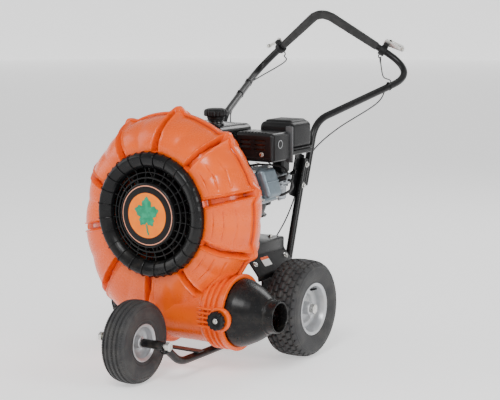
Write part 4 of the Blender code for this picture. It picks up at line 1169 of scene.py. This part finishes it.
@dataclass
class Chassis:
    """Front rails, posts, hoop handle and foam sleeve."""

    finishes: Finishes
    tube: float = 13.0
    rail_z: float = 61.0
    rail_rise_y: float = -128.0
    left_x: float = 150.0
    right_x: float = -70.0
    front: tuple = (40.0, -574.0, 133.5)
    post_x: float = 189.7
    corner: Vector = field(default_factory=lambda: Vector((352, 838, 917)))
    top: Vector = field(default_factory=lambda: Vector((0, 709, 1152)))
    bend: Vector = field(default_factory=lambda: Vector((193, 319, 767)))
    foam: float = 17.0
    clamp_at: float = 0.36
    sleeve_gap: float = 0.06

    def post_y(self, z: float) -> float:
        """Y of the leaning post's centre line at a height."""
        return 136 + (z - 296) * 0.331

    def hoop(self) -> list[Vector]:
        """Centre line of the upper handle, left foot to right foot."""
        left = [Vector((self.post_x, self.post_y(545) + 28, 545)), self.bend, self.corner]
        right = [Vector((-p.x, p.y, p.z)) for p in reversed(left)]
        return bent(left + [self.top] + right, [62, 145, 62, 145, 62], 14)

    def rails(self) -> None:
        """The two front rails, each with its axle sleeve."""
        _, fy, fz = self.front
        for label, x, sleeve in (("left", self.left_x, (self.front[0] + 34, self.left_x + 2)),
                                 ("right", self.right_x, (self.right_x - 2, self.front[0] - 34))):
            path = bent([(x, fy + 3, fz - 2), (x, -484, self.rail_z), (x, self.rail_rise_y, self.rail_z),
                         (x, self.rail_rise_y, 377)], [38, 55], 10)
            rail = tube(path, self.tube, 28)
            sleeve_tube = turned(eased([(9, sleeve[0]), (14, sleeve[0]), (14, sleeve[1]), (9, sleeve[1])],
                                       1, 2,
                                       True), (0, fy, fz), X, 32, True)
            bead = turned(eased([(12, -5), (16.5, -3), (17, 2), (13, 5)], 1, 2, True),
                          (x, fy + 10, fz - 14),
                          Vector((0, 0.8, -0.62)), 24, True)
            hand_over(joined(rail, sleeve_tube, bead), f"front_rail_{label}", Body.FRAME,
                      self.finishes.paint, [f"frame_rail_{label}"])

    def posts(self) -> None:
        """Lower posts, their bracket plates and the bolts through them."""
        lean = Vector((0, 0.331, 1)).normalized()
        across = lean.cross(X)
        for side, label in ((1, "left"), (-1, "right")):
            x = side * self.post_x
            post = tube([Vector((x, self.post_y(z), z)) for z in (196, 300, 420, 540, 640)], self.tube, 28)
            middle = Vector((x - side * (self.tube + 3), self.post_y(580), 580))
            outline = eased([(-17, -78), (44, -78), (44, 78), (-17, 78)], 9, 4, True)
            bracket = plate(outline, middle, -across, lean, Vector((side * 5, 0, 0)), 0.8, 2)
            hand_over(joined(post, bracket), f"post_{label}", Body.FRAME,
                      self.finishes.paint,
                      [f"lower_post_{label}"])
            face = x + side * self.tube
            bolts = [hex_bolt((face - side * 0.6, self.post_y(z) + off, z), Vector((side, 0, 0)), 7.5, 5)
                     for z, off in ((620, 0), (548, 0))]
            hand_over(joined(*bolts), f"post_bolts_{label}", Body.FRAME, self.finishes.zinc)

    def build(self) -> None:
        """Build the chassis pieces."""
        f = self.finishes
        self.rails()
        self.posts()
        path = self.hoop()
        hand_over(tube(path, self.tube, 32), "hoop_handle", Body.FRAME, f.paint,
                  ["upper_handle"])
        low = self.corner.lerp(self.top, self.clamp_at + self.sleeve_gap)
        grip = [low] + [p for p in path if p.z > low.z + 6] + [Vector((-low.x, low.y, low.z))]
        self.sleeve(grip)

    def sleeve(self, path: Sequence[Vector]) -> None:
        """Foam sleeve over the top of the hoop."""
        line = flowing(path, 2)
        count = len(line)
        sizes = [self.foam - 1.8 * (max(0, 1 - min(k, count - 1 - k) / 1.5)) + 0.25 * sin(k * 0.7)
                 for k in range(count)]
        grip = tube(line, sizes, 32)
        hand_over(grip, "foam_sleeve", Body.FRAME, self.finishes.foam, ["foam_grip"])


# ------------------------------------------------------------------ hand controls and cables


@dataclass
class Controls:
    """Clamps and levers on the hoop, and the two cables that run down the handle."""

    finishes: Finishes
    chassis: Chassis
    pivot_up: float = 29.0

    def seat(self, side: int) -> Matrix:
        """Place of a clamp: X out along the bar, Y to the front, Z away from the bar."""
        corner = Vector((side * self.chassis.corner.x, self.chassis.corner.y, self.chassis.corner.z))
        centre = corner.lerp(self.chassis.top, self.chassis.clamp_at)
        along = (self.chassis.top - corner).normalized()
        up = along.cross(Vector((0, -1, 0))).normalized()
        up = up if up.z > 0 else -up
        front = up.cross(along).normalized()
        front = front if front.y < 0 else -front
        place = Matrix((-along, front, up)).transposed().to_4x4()
        place.translation = centre
        return place

    def clamp(self, side: int) -> bpy.types.Object:
        """Split collar with its screw ears and the lever's carrier."""
        ring = turned(eased([(13.3, -12), (20, -12), (21.5, -9), (21.5, 9), (20, 12), (13.3, 12)], 1, 2,
                            True),
                      (0, 0, 0), X, 40, True)
        ears = block((-7, -30, -4), (7, -18, 4), 2)
        carrier = block((-9, -7.6, 17), (9, 8, 34), 3, 4)
        web = block((-6, -6, 12), (6, 6, 20), 1.5)
        hook = tube([Vector(p) for p in ((-4, 0, -19), (-4, -2, -27), (0, -2, -33), (8, -2, -33))], 2.4, 12)
        made = joined(ring, ears, carrier, web, hook)
        return transformed(made, self.seat(side))

    def drive_lever(self) -> bpy.types.Object:
        """Pair of bright pressed blades on their pin."""
        outline = eased([(-14, -9), (7, -10), (18, -6), (66, 4), (69, 12), (62, 18.5), (8, 14), (-14, 9)],
                        2.5, 3, True)
        low = plate(outline, (0, -8.4, self.pivot_up), X, Z, Vector((0, -3.0, 0)), 0.8, 2)
        second = eased([(-12, -4), (6, -6), (18, 0), (58, 11), (62, 21), (54, 26), (10, 19), (-12, 12)],
                       2.5, 3, True)
        high = plate(second, (0, -14.0, self.pivot_up), X, Z, Vector((0, -3.0, 0)), 0.8, 2)
        pin = turned(eased([(0, -6.4), (4.6, -6.4), (4.6, 12), (6.4, 12.2), (6.4, 16), (0, 17)], 0.7, 2),
                     (0, -4, self.pivot_up), -Y, 24)
        roll = turned(eased([(0, -9), (5.4, -9), (6.4, -7), (6.4, 7), (5.4, 9), (0, 9)], 1, 2),
                      (60, -11, self.pivot_up + 14), Y, 24)
        return transformed(joined(low, high, pin, roll), self.seat(1))

    def throttle_lever(self) -> bpy.types.Object:
        """Bright round thumb dial with its short lever."""
        dial = turned(eased([(0, 0), (12, 0), (13.5, -1.6), (13.5, -4.6), (12, -6), (6, -6.6), (0, -7)],
                            0.8, 2),
                      (0, -8.4, self.pivot_up), Y, 48,
                      wobble=lambda turn, radius, height: -0.7 * (np.cos(turn * 24) > 0) * (radius > 12.5))
        outline = eased([(4, -6), (14, -2), (60, 8), (68, 12), (66, 19), (58, 18), (8, 10)], 2.5, 3, True)
        arm = plate(outline, (0, -9.4, self.pivot_up), X, Z, Vector((0, -2.6, 0)), 0.6, 2)
        grip = turned(eased([(0, -9), (6, -9), (8, -6.5), (8, 6.5), (6, 9), (0, 9)], 1.6, 3),
                      (62, -10.8, self.pivot_up + 14), Y, 28)
        return transformed(joined(dial, arm, grip), self.seat(-1))

    def build(self) -> None:
        """Build the clamps, levers and cables."""
        f = self.finishes
        hand_over(self.clamp(1), "drive_collar", Body.FRAME, f.plastic, ["drive_clamp"])
        hand_over(self.clamp(-1), "throttle_collar", Body.FRAME, f.plastic,
                  ["throttle_clamp"])
        hand_over(self.drive_lever(), "drive_blades", Body.DRIVE_LEVER, f.zinc,
                  ["drive_lever"])
        ball = turned(eased([(0, -6.5), (4.5, -6), (6.8, -2), (6.8, 2), (4.5, 6), (0, 6.5)], 2, 3),
                      (6, -18, self.pivot_up + 12), Y, 24)
        hand_over(transformed(ball, self.seat(1)), "drive_lever_ball", Body.DRIVE_LEVER,
                  f.plastic)
        hand_over(self.throttle_lever(), "throttle_dial", Body.THROTTLE_LEVER, f.zinc,
                  ["throttle_lever"])
        for side, label in ((1, "drive"), (-1, "throttle")):
            bolt = hex_bolt((0, -24, 4), Z, 4.2, 3)
            hand_over(transformed(bolt, self.seat(side)), f"{label}_collar_screw", Body.FRAME,
                      f.zinc)
        self.cables()

    def cables(self) -> None:
        """Run both cables, with their ties and ends."""
        f, c = self.finishes, self.chassis
        start = self.seat(1) @ Vector((8, -2, -33))
        drive = flowing([start, start + Vector((4, -2, -26)), start + Vector((14, 0, -70)),
                         c.bend.lerp(c.corner, 0.74) + Vector((-5, -8, 15)), c.bend.lerp(c.corner, 0.69)
                         + Vector((0, -16, -6)), (285, 620, 812), (230, 438, 738), (201, 334, 684),
                         (184, 296, 640),
                         (166, 262, 570), (160, 222, 490), (154, 176, 425), (150, 124, 378)], 8)
        tip = turned(eased([(0, -6), (3.2, -6), (3.8, 4), (3.0, 16), (0, 16)], 0.8, 2), start, -Z, 16)
        hand_over(joined(tube(drive, 2.4, 12), tip), "drive_cable_run", Body.FRAME,
                  f.sheath,
                  ["drive_cable"])
        arm_low, arm_high = (Vector((-p.x, p.y, p.z)) for p in (c.bend, c.corner))
        start = self.seat(-1) @ Vector((8, -2, -33))
        drop = Vector((5, -10, -13))
        throttle = flowing([start, start + Vector((6, -10, -26)), arm_low.lerp(arm_high, 0.78) + drop * 1.2,
                            arm_low.lerp(arm_high, 0.62) + drop * 1.3, arm_low.lerp(arm_high, 0.42) + drop,
                            arm_low.lerp(arm_high, 0.22) + drop * 1.5, (-168, 325, 748), (-110, 262, 690),
                            (20, 226, 640), (100, 205, 600), (140, 160, 580)], 8)
        hand_over(tube(throttle, 2.4, 12), "throttle_cable_run", Body.FRAME, f.sheath,
                  ["throttle_cable"])
        ties = []
        for low, high, spots in ((c.bend, c.corner, (0.70,)), (arm_low, arm_high, (0.42, 0.66))):
            for t in spots:
                band = turned(eased([(13.2, -2.6), (14.8, -2.6), (14.8, 2.6), (13.2, 2.6)], 0.5, 2, True),
                              low.lerp(high, t), high - low, 32, True)
                head = block((-4, -4, -3), (4, 4, 4), 1)
                transformed(head, Matrix.Translation(low.lerp(high, t) + Vector((0, -6, 14))))
                ties += [band, head]
        hand_over(joined(*ties), "cable_ties", Body.FRAME, f.plastic)


# ------------------------------------------------------------------ engine


@dataclass
class Engine:
    """Single cylinder engine with its covers, tank, silencer, cleaner and starter."""

    finishes: Finishes
    shaft: tuple = (0.0, 0.0, 515.0)
    cylinder_y: float = -25.0
    tilt: float = 20.0
    tank_low: tuple = (-188, -108, 690)
    tank_high: tuple = (62, 118, 772)
    filler: tuple = (0, -36, 788)
    axle_z: float = 165.0

    def tilted(self) -> Matrix:
        """Place of the cylinder: its axis is X, leaning up."""
        centre = Vector((0, self.cylinder_y, self.shaft[2]))
        return Matrix.Translation(centre) @ Matrix.Rotation(radians(-self.tilt), 4, "Y")

    def base(self) -> None:
        """Folded base sheet with blank plates and bolts."""
        f, top, t = self.finishes, 382.7, 6.0
        outer = [(-238, 268), (-238, 285), (-190, 345), (-190, top)]
        inner = [(-190 + t, top - t), (-190 + t, 343), (-238 + t, 283), (-238 + t, 268)]
        outline = outer + [(-x, z) for x, z in reversed(outer)]
        outline += [(-x, z) for x, z in reversed(inner)] + inner
        sheet = plate(eased(outline, 7, 3, True), (0, -140, 0), X, Z, Vector((0, 245, 0)), 0.9, 2)
        hand_over(sheet, "base_sheet", Body.FRAME, f.paint, ["engine_base"])
        slope = Vector((48, 0, -60)).normalized()
        normal = Vector((60, 0, 48)).normalized()
        spots = [((209, y, 321), Vector((0.78, 0, 0.62))) for y in (-118, 84)]
        spots += [((x, y, 383), Z) for x in (-150, 150) for y in (-110, 80)]
        hand_over(joined(*[hex_bolt(at, out, 7, 4.5) for at, out in spots]), "base_bolts", Body.FRAME,
                  f.zinc)
        label = plate(eased([(-24, -17), (24, -17), (24, 17), (-24, 17)], 3, 3, True),
                      Vector((209, -48, 321)) + normal * 0.1, Y, slope, normal * 0.9, 0.2, 1)
        hand_over(label, "blank_plate_white", Body.FRAME, f.blank)
        band = plate(eased([(-24, -16.8), (24, -16.8), (24, -7), (-24, -7)], 1.5, 2, True),
                     Vector((209, -48, 321)) + normal * 1.1, Y, slope, normal * 0.3, 0, 1)
        hand_over(band, "blank_plate_band", Body.FRAME, f.orange)
        grey = block((190.4, -134, 350), (191.6, -96, 376), 0.4, 1)
        hand_over(grey, "blank_plate_grey", Body.FRAME, f.plate)

    def crankcase(self) -> None:
        """Crankcase with its round side cover, ribs, feet, bosses and cooling shroud."""
        f = self.finishes
        case = block((-103, -136, 398), (86, 58, 632), 30, 6)
        low = turned(eased([(0, -150), (70, -150), (74, -147), (92, -146), (100, -141), (101, -128),
                            (0, -128)],
                           2.5, 3), (0, 0, 505), Y, 64)
        feet = [block((x, -144, 383), (x + 46, 50, 399), 3) for x in (-118, 66)]
        bosses = [turned(eased([(0, -4), (9, -4), (9, 33), (8, 34.6), (0, 34.6)], 1, 2), (x, -145, z), -Y,
                         24)
                  for x, z in ((-66, 432), (66, 432), (-66, 572), (66, 572))]
        ribs = [block((x, -139, 404), (x + 5, -120, 470), 1.5) for x in (-80, -48, 44, 76)]
        barrel = transformed(block((60, -52, -52), (146, 52, 52), 8), self.tilted())
        shroud = block((-92, -70, 624), (60, 52, 689), 14, 5)
        box = block((-124, 14, 566), (-98, 52, 604), 4)
        side = transformed(block((40, -58, -66), (96, 58, 60), 16, 4), self.tilted())
        whole = joined(case, low, *feet, *bosses, *ribs, barrel, shroud, box, side)
        hand_over(whole, "crankcase", Body.FRAME, f.casting, ["engine_block"])
        fins = [transformed(plate(eased([(-66, -62), (66, -62), (66, 62), (-66, 62)], 9, 4, True),
                                  (98 + 11.5 * k, 0, 0), Y, Z, Vector((3.2, 0, 0)), 0.7, 2), self.tilted())
                for k in range(4)]
        hand_over(joined(*fins), "barrel_fins", Body.FRAME, f.casting)
        drain = hex_bolt((87, -70, 412), X, 8, 6)
        studs = [hex_bolt((76 * cos(a), -146.4, 505 + 82 * sin(a)), -Y, 5.4, 3.6)
                 for a in (0.5, 1.4, 2.4, 3.6, 4.6, 5.6)]
        hand_over(joined(drain, *studs), "crankcase_bolts", Body.FRAME, f.zinc)

    def head(self) -> None:
        """Finned head, rocker cover, heat shield, plug cap lead and bolts."""
        f, place = self.finishes, self.tilted()
        core = block((146.4, -56, -54), (199, 56, 52), 6)
        fins = [plate(eased([(-68, -64), (68, -64), (68, 62), (-68, 62)], 10, 4, True),
                      (150 + 9.6 * k, 0, 0), Y, Z, Vector((3.0, 0, 0)), 0.7, 2) for k in range(5)]
        hand_over(transformed(joined(core, *fins), place), "finned_head", Body.FRAME,
                  f.alloy,
                  ["cylinder_head"])
        flange = plate(eased([(-55, -60), (48, -60), (48, 52), (-55, 52)], 12, 4, True), (199.6, 0, 0), Y,
                       Z,
                       Vector((7, 0, 0)), 1, 2)
        dome = block((204, -49, -54), (237, 42, 46), 15, 6)
        rib = block((222, -40, -6), (239.4, 34, 0), 2.4)
        hand_over(transformed(joined(flange, dome, rib), place), "rocker_cover", Body.FRAME,
                  f.cover, ["valve_cover"])
        bolts = [hex_bolt((206.4, y, z), X, 4.8, 3.4) for y in (-48, 41) for z in (-53, 45)]
        hand_over(transformed(joined(*bolts), place), "rocker_cover_bolts", Body.FRAME,
                  f.zinc)
        outline = eased([(100, -58), (196, -60), (199, 20), (176, 58), (120, 60), (98, 20)], 7, 3, True)
        shield = plate(outline, (0, -71.5, 0), X, Z, Vector((0, -1.8, 0)), 0.6, 2)
        ridge = tube(flowing([(118, -74, 52), (126, -75, 20), (150, -75, -10), (160, -74, -50)], 6), 2.6,
                     10)
        hand_over(transformed(joined(shield, ridge), place), "heat_shield", Body.FRAME,
                  f.exhaust)
        edge = [transformed(tube(flowing(line, 5), 1.9, 10), place) for line in (
            [(100, -73.5, -56), (98, -74, 18), (120, -74, 59), (176, -74, 57)],
            [(197, -73.5, -59), (200, -74, 20), (178, -74, 56)],
            [(208, -60, -56), (212, -63, -20), (207, -62, 18), (209, -59, 50)])]
        hand_over(joined(*edge), "heat_shield_edge", Body.FRAME, f.zinc)
        lead = tube(flowing([place @ Vector(p) for p in ((238, 72, 0), (250, 82, 10), (230, 90, 40),
                                                         (160, 78, 70),
                                                         (100, 70, 82))], 8), 3.4, 12)
        hand_over(lead, "plug_lead", Body.FRAME, f.sheath)

    def tank(self) -> None:
        """Two pressed tank halves with their seam, and the knurled cap."""
        f = self.finishes
        (x0, y0, z0), (x1, y1, z1) = self.tank_low, self.tank_high
        low = block((x0 + 5, y0 + 5, z0), (x1 - 5, y1 - 5, z0 + 44), 20, 6)
        high = block((x0 + 1, y0 + 1, z0 + 30), (x1 - 1, y1 - 1, z1), 24, 7)
        seam = plate(eased([(x0 - 3, y0 - 3), (x1 + 3, y0 - 3), (x1 + 3, y1 + 3), (x0 - 3, y1 + 3)], 24, 6,
                           True),
                     (0, 0, z0 + 35), X, Y, Vector((0, 0, 5)), 1.2, 2)
        pads = [block((x, y0 + 34, z1 - 5), (x + 40, y1 - 30, z1 + 2.4), 3.4, 4) for x in (x0 + 34,
                                                                                           x0 + 86)]
        neck = turned(eased([(22, -26), (29, -26), (29, -8), (26.5, -6), (26.5, -1.4), (22, -1.4)], 1, 2,
                            True),
                      self.filler, Z, 48, True)
        hand_over(joined(low, high, seam, *pads, neck), "tank_halves", Body.FRAME, f.tank,
                  ["fuel_tank"])

        def knurl(turn: np.ndarray, radius: np.ndarray, height: np.ndarray) -> np.ndarray:
            """Flutes round the cap's rim."""
            return np.where(radius > 37, -2.4 * (0.5 + 0.5 * np.cos(turn * 18)) ** 3, 0.0)

        profile = [(0, -12), (20, -12), (20, 0.3), (29, 0.3), (30, 3), (27, 5), (30, 8), (30, 12), (31, 15),
                   (40, 17),
                   (41, 20), (41, 33), (38, 38), (30, 41.5), (24, 42.5), (22, 41), (0, 41)]
        cap = turned(eased(profile, 1.4, 3), self.filler, Z, 144, wobble=knurl)
        hand_over(cap, "knurled_cap", Body.FUEL_CAP, f.plastic, ["fuel_cap"])

    def exhaust(self) -> None:
        """Silencer in its slotted guard, with side panel, vents and bolt."""
        f = self.finishes
        can = block((100, -48, 662), (230, 46, 742), 16, 5)
        seam = block((98.5, -49.5, 699), (231.5, 47.5, 704), 1.5)
        stub = turned(eased([(9, 0), (13, 0), (13, 26), (11, 28), (9, 28)], 1, 2, True), (204, 44, 700), Y,
                      32, True)
        hand_over(joined(can, seam, stub), "silencer", Body.FRAME, f.exhaust, ["muffler"])
        guard = block((91, -58, 656), (240, 54, 757), 13, 6)
        tools = [block((95, -54, 640), (236, 80, 752), 8, 2)]
        for column in range(2):
            for row in range(3):
                x, z = 112 + column * 56, 698 + row * 15
                tools.append(block((x, -70, z), (x + 42, -45, z + 6.4), 2.8, 3))
        tools += [block((232, y, 690), (246, y + 6, 720), 2) for y in (-6, 6, 18)]
        carved(guard, *tools)
        vents = [block((112 + 13 * k, -50, 755.6), (119 + 13 * k, -20, 758.6), 1.4) for k in range(8)]
        rail = block((97, -59.4, 668), (234, -56, 674), 1.4)
        hand_over(joined(guard, *vents, rail), "silencer_guard", Body.FRAME, f.paint,
                  ["muffler_guard"])
        panel = block((239, -50, 664), (243.4, 48, 750), 2, 3)
        ring = turned(eased([(12.4, 0), (14.2, 0), (14.2, 1.6), (12.4, 1.6)], 0.4, 2, True),
                      (243, -14, 718), X, 40, True)
        hand_over(panel, "side_panel", Body.FRAME, f.plastic)
        hand_over(ring, "side_panel_ring", Body.FRAME, f.plate)
        bolts = [hex_bolt((196, -58, 684), -Y, 6, 4), hex_bolt((112, -58, 684), -Y, 6, 4)]
        hand_over(joined(*bolts), "silencer_guard_bolts", Body.FRAME, f.zinc)

    def intake(self) -> None:
        """Air cleaner with its domed cover, carburettor, hose and governor link."""
        f = self.finishes
        cover = block((112, 62, 690.3), (246, 203, 784), 20, 7)
        crown = block((124, 76, 760), (234, 190, 790), 13, 6)
        lip = plate(eased([(110, 60), (248, 60), (248, 205), (110, 205)], 18, 5, True), (0, 0, 691), X, Y,
                    Vector((0, 0, 5)), 1, 2)
        groove = [block((150 + 22 * k, 60.4, 706), (156 + 22 * k, 66, 752), 2.2) for k in range(4)]
        hand_over(joined(cover, crown, lip, *groove), "cleaner_cover", Body.FRAME,
                  f.plastic,
                  ["air_cleaner_cover"])
        strip = block((222, 57, 648), (250, 64, 772), 3, 3)
        hand_over(strip, "grey_bracket", Body.FRAME, f.strip)
        body = block((134, 86, 562), (194, 148, 603), 8, 4)
        throat = turned(eased([(0, 0), (27, 0), (27, 6), (22, 8), (22, 44), (0, 44)], 1.5, 2),
                        (164, 88, 583), -Y, 40)
        bowl = turned(eased([(0, 0), (18, 0), (24, 5), (24, 44), (26, 46), (26, 52), (0, 52)], 2, 3),
                      (164, 116, 510), Z, 40)
        nut = hex_bolt((164, 116, 510.4), -Z, 6, 4)
        horn = block((182, 96, 572), (204, 132, 592), 4)
        hand_over(joined(body, throat, bowl, nut, horn), "carburettor_body", Body.FRAME,
                  f.alloy,
                  ["carburettor"])
        hose = tube(flowing([(196, 110, 582), (214, 112, 576), (222, 106, 556), (206, 96, 538),
                             (176, 84, 530),
                             (120, 74, 560), (60, 70, 640), (30, 70, 688)], 8), 4.6, 14)
        hand_over(hose, "fuel_hose", Body.FRAME, f.sheath)
        link = tube(flowing([(150, 150, 596), (120, 152, 610), (90, 140, 622), (60, 128, 630)], 6), 1.6, 8)
        hand_over(link, "governor_link", Body.FRAME, f.zinc)

    def starter(self) -> None:
        """Recoil cover with louvres and screws, and the pull grip."""
        f = self.finishes
        shell = [(127, 60), (127, 93), (122, 104), (111, 130), (104, 139), (93, 150), (60, 150), (56, 147),
                 (20, 147),
                 (16, 150), (0, 150), (0, 145), (90, 145), (106, 127), (122, 92), (122, 60)]
        cover = turned(eased(shell, 2.4, 3), self.shaft, Y, 96)
        louvre = plate([(62, 148.6), (90, 148.6), (90, 153.4), (62, 151.4)], (0, 0, 513), X, Y,
                       Vector((0, 0, 4)), 0.8, 1)
        louvres = around(louvre, self.shaft, Y, 20)
        slats = around(block((112, 100, 509), (126.6, 128, 521), 2.4), self.shaft, Y, 16, pi / 16)
        hand_over(joined(cover, *louvres, *slats), "recoil_housing", Body.FRAME, f.paint,
                  ["recoil_cover"])
        bolts = around(hex_bolt((116, 96, 515), Vector((1, 0.4, 0)), 5, 3.4), self.shaft, Y, 4, pi / 4)
        hand_over(joined(*bolts), "recoil_screws", Body.FRAME, f.zinc)
        grip = (-46, 150.3, 578)
        bar = tube([Vector((grip[0] + k, grip[1] + 19 + 3 * cos(k / 42 * pi / 2), grip[2]))
                    for k in range(-42, 43, 6)], 9.6, 20, 0.95)
        stem = turned(eased([(0, 0), (8, 0), (9, 4), (6, 14), (0, 16)], 1, 2), grip, Y, 24)
        hand_over(joined(bar, stem), "pull_grip", Body.STARTER, f.plastic, ["recoil_grip"])

    def gearbox(self) -> None:
        """Ribbed gearbox housing with a split flange and its screws."""
        low, high = ((Vector(corner) - DATUM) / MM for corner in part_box("gearbox_case"))
        middle = (low.y + high.y) / 2
        case = block(low + Vector((1, 1, 1)), high - Vector((1, 1, 1)), 9, 4)
        flange = block((low.x, middle - 4, low.z), (high.x, middle + 4, high.z), 3, 3)
        span = high.x - low.x
        ribs = [block((low.x + span * k / 5 - 2, low.y, low.z + 10),
                      (low.x + span * k / 5 + 2, high.y, high.z - 10),
                      1.5) for k in range(1, 5)]
        hubs = [turned(eased([(0, -8), (20, -8), (22, 0), (22, 3), (0, 3)], 1.5, 3), (x, 0, self.axle_z),
                       way, 40)
                for x, way in ((low.x + 5, X), (high.x - 5, -X))]
        hand_over(joined(case, flange, *ribs, *hubs), "gearbox_shell", Body.FRAME,
                  self.finishes.casting, ["gearbox_case"])
        screws = [hex_bolt((x, high.y - 0.6, z), Y, 5, 3.4) for x in (low.x + 10, high.x - 10)
                  for z in (low.z + 10, high.z - 10)]
        hand_over(joined(*screws), "gearbox_screws", Body.FRAME, self.finishes.zinc)

    def build(self) -> None:
        """Build the engine's pieces."""
        for step in (self.gearbox, self.base, self.crankcase, self.head, self.tank, self.exhaust,
                     self.intake,
                     self.starter):
            step()


KEPT = {
    "plastic": ["air_cleaner_base", "spark_plug_cap", "oil_dipstick", "engine_switch", "choke_lever",
                "fuel_lever"],
    "paint": ["front_cross_strap", "axle_plate_left", "axle_plate_right", "housing_mount_plate"],
    "alloy": ["flywheel"],
    "zinc": ["rear_axle", "front_axle", "worm_shaft", "idler_arm", "idler_pulley", "crankshaft",
             "impeller_bolt",
             "crank_pulley"],
    "fan": ["impeller"],
    "paper": ["air_filter"],
    "belt": ["drive_belt"],
}


def dress_kept(finishes: Finishes) -> None:
    """Give every CAD node that stays its finish."""
    for label, names in KEPT.items():
        for name in names:
            node = frame["nodes"][name]
            node.data.materials.clear()
            node.data.materials.append(getattr(finishes, label))


# ------------------------------------------------------------------ studio


@dataclass
class Studio:
    """Pale floor and backdrop, soft light and the camera."""

    camera_at: tuple = (2618.4, -4084.3, 1241.8)
    aim: tuple = (81.4, 0.0, 31.5)
    lens: float = 101.6
    sensor: float = 36.0
    floor_size: float = 60.0
    wall_radius: float = 20.0
    wall_height: float = 4.0
    pale: tuple = (0.88, 0.88, 0.88)
    glow: float = 0.62
    sky: float = 0.60
    target: tuple = (0, 0, 0.5)
    lamps: tuple = (("key", (1.2, -3.4, 3.4), 105, 1.5), ("fill", (-3.4, -1.8, 2.2), 42, 2.4),
                    ("side", (3.6, -0.6, 1.6), 48, 1.3), ("rim", (0.4, 3.2, 2.8), 40, 1.6))

    def build(self) -> None:
        """Set the floor, backdrop, lights, world and camera."""
        clear_selection()
        bpy.ops.mesh.primitive_plane_add(size=self.floor_size, location=(0, 0, -0.0006))
        floor = bpy.context.object
        floor.name = "floor"
        graph = Graph("pale_floor")
        floor.data.materials.append(graph.settle(
            Base_Color=self.pale, Roughness=0.9, Specular_IOR_Level=0.1,
            Emission_Color=(1.0, 1.0, 1.0), Emission_Strength=self.glow))
        clear_selection()
        bpy.ops.mesh.primitive_cylinder_add(
            vertices=96, radius=self.wall_radius, depth=self.wall_height,
            location=(0, 0, self.wall_height / 2 - 0.01), end_fill_type="NOTHING")
        wall = bpy.context.object
        wall.name = "backdrop"
        wall.data.materials.append(floor.data.materials[0])
        sky = bpy.data.worlds.new("studio")
        bpy.context.scene.world = sky
        sky.use_nodes = True
        sky.node_tree.nodes["Background"].inputs["Color"].default_value = (1.0, 1.0, 1.0, 1.0)
        sky.node_tree.nodes["Background"].inputs["Strength"].default_value = self.sky
        for name, place, energy, size in self.lamps:
            bpy.ops.object.light_add(type="AREA", location=place)
            lamp = bpy.context.object
            lamp.name, lamp.data.energy, lamp.data.size = name, energy, size
            lamp.rotation_euler = (Vector(self.target) - Vector(place)).to_track_quat(
                "-Z", "Y").to_euler()
        bpy.ops.object.camera_add(location=world(self.camera_at), rotation=[radians(a) for a in self.aim])
        camera = bpy.context.object
        camera.data.lens, camera.data.sensor_width = self.lens, self.sensor
        camera.data.clip_end = 100
        bpy.context.scene.camera = camera


def main() -> None:
    """Build every sub-assembly in order."""
    logging.basicConfig(level=logging.INFO, format="%(message)s")
    studio = Studio()
    studio.build()
    finishes = Finishes()
    dress_kept(finishes)
    chassis = Chassis(finishes)
    for assembly in (Housing(finishes), Grille(finishes), Nozzle(finishes), Wheels(finishes), chassis,
                     Controls(finishes, chassis), Engine(finishes)):
        assembly.build()


if __name__ == "__main__":
    main()
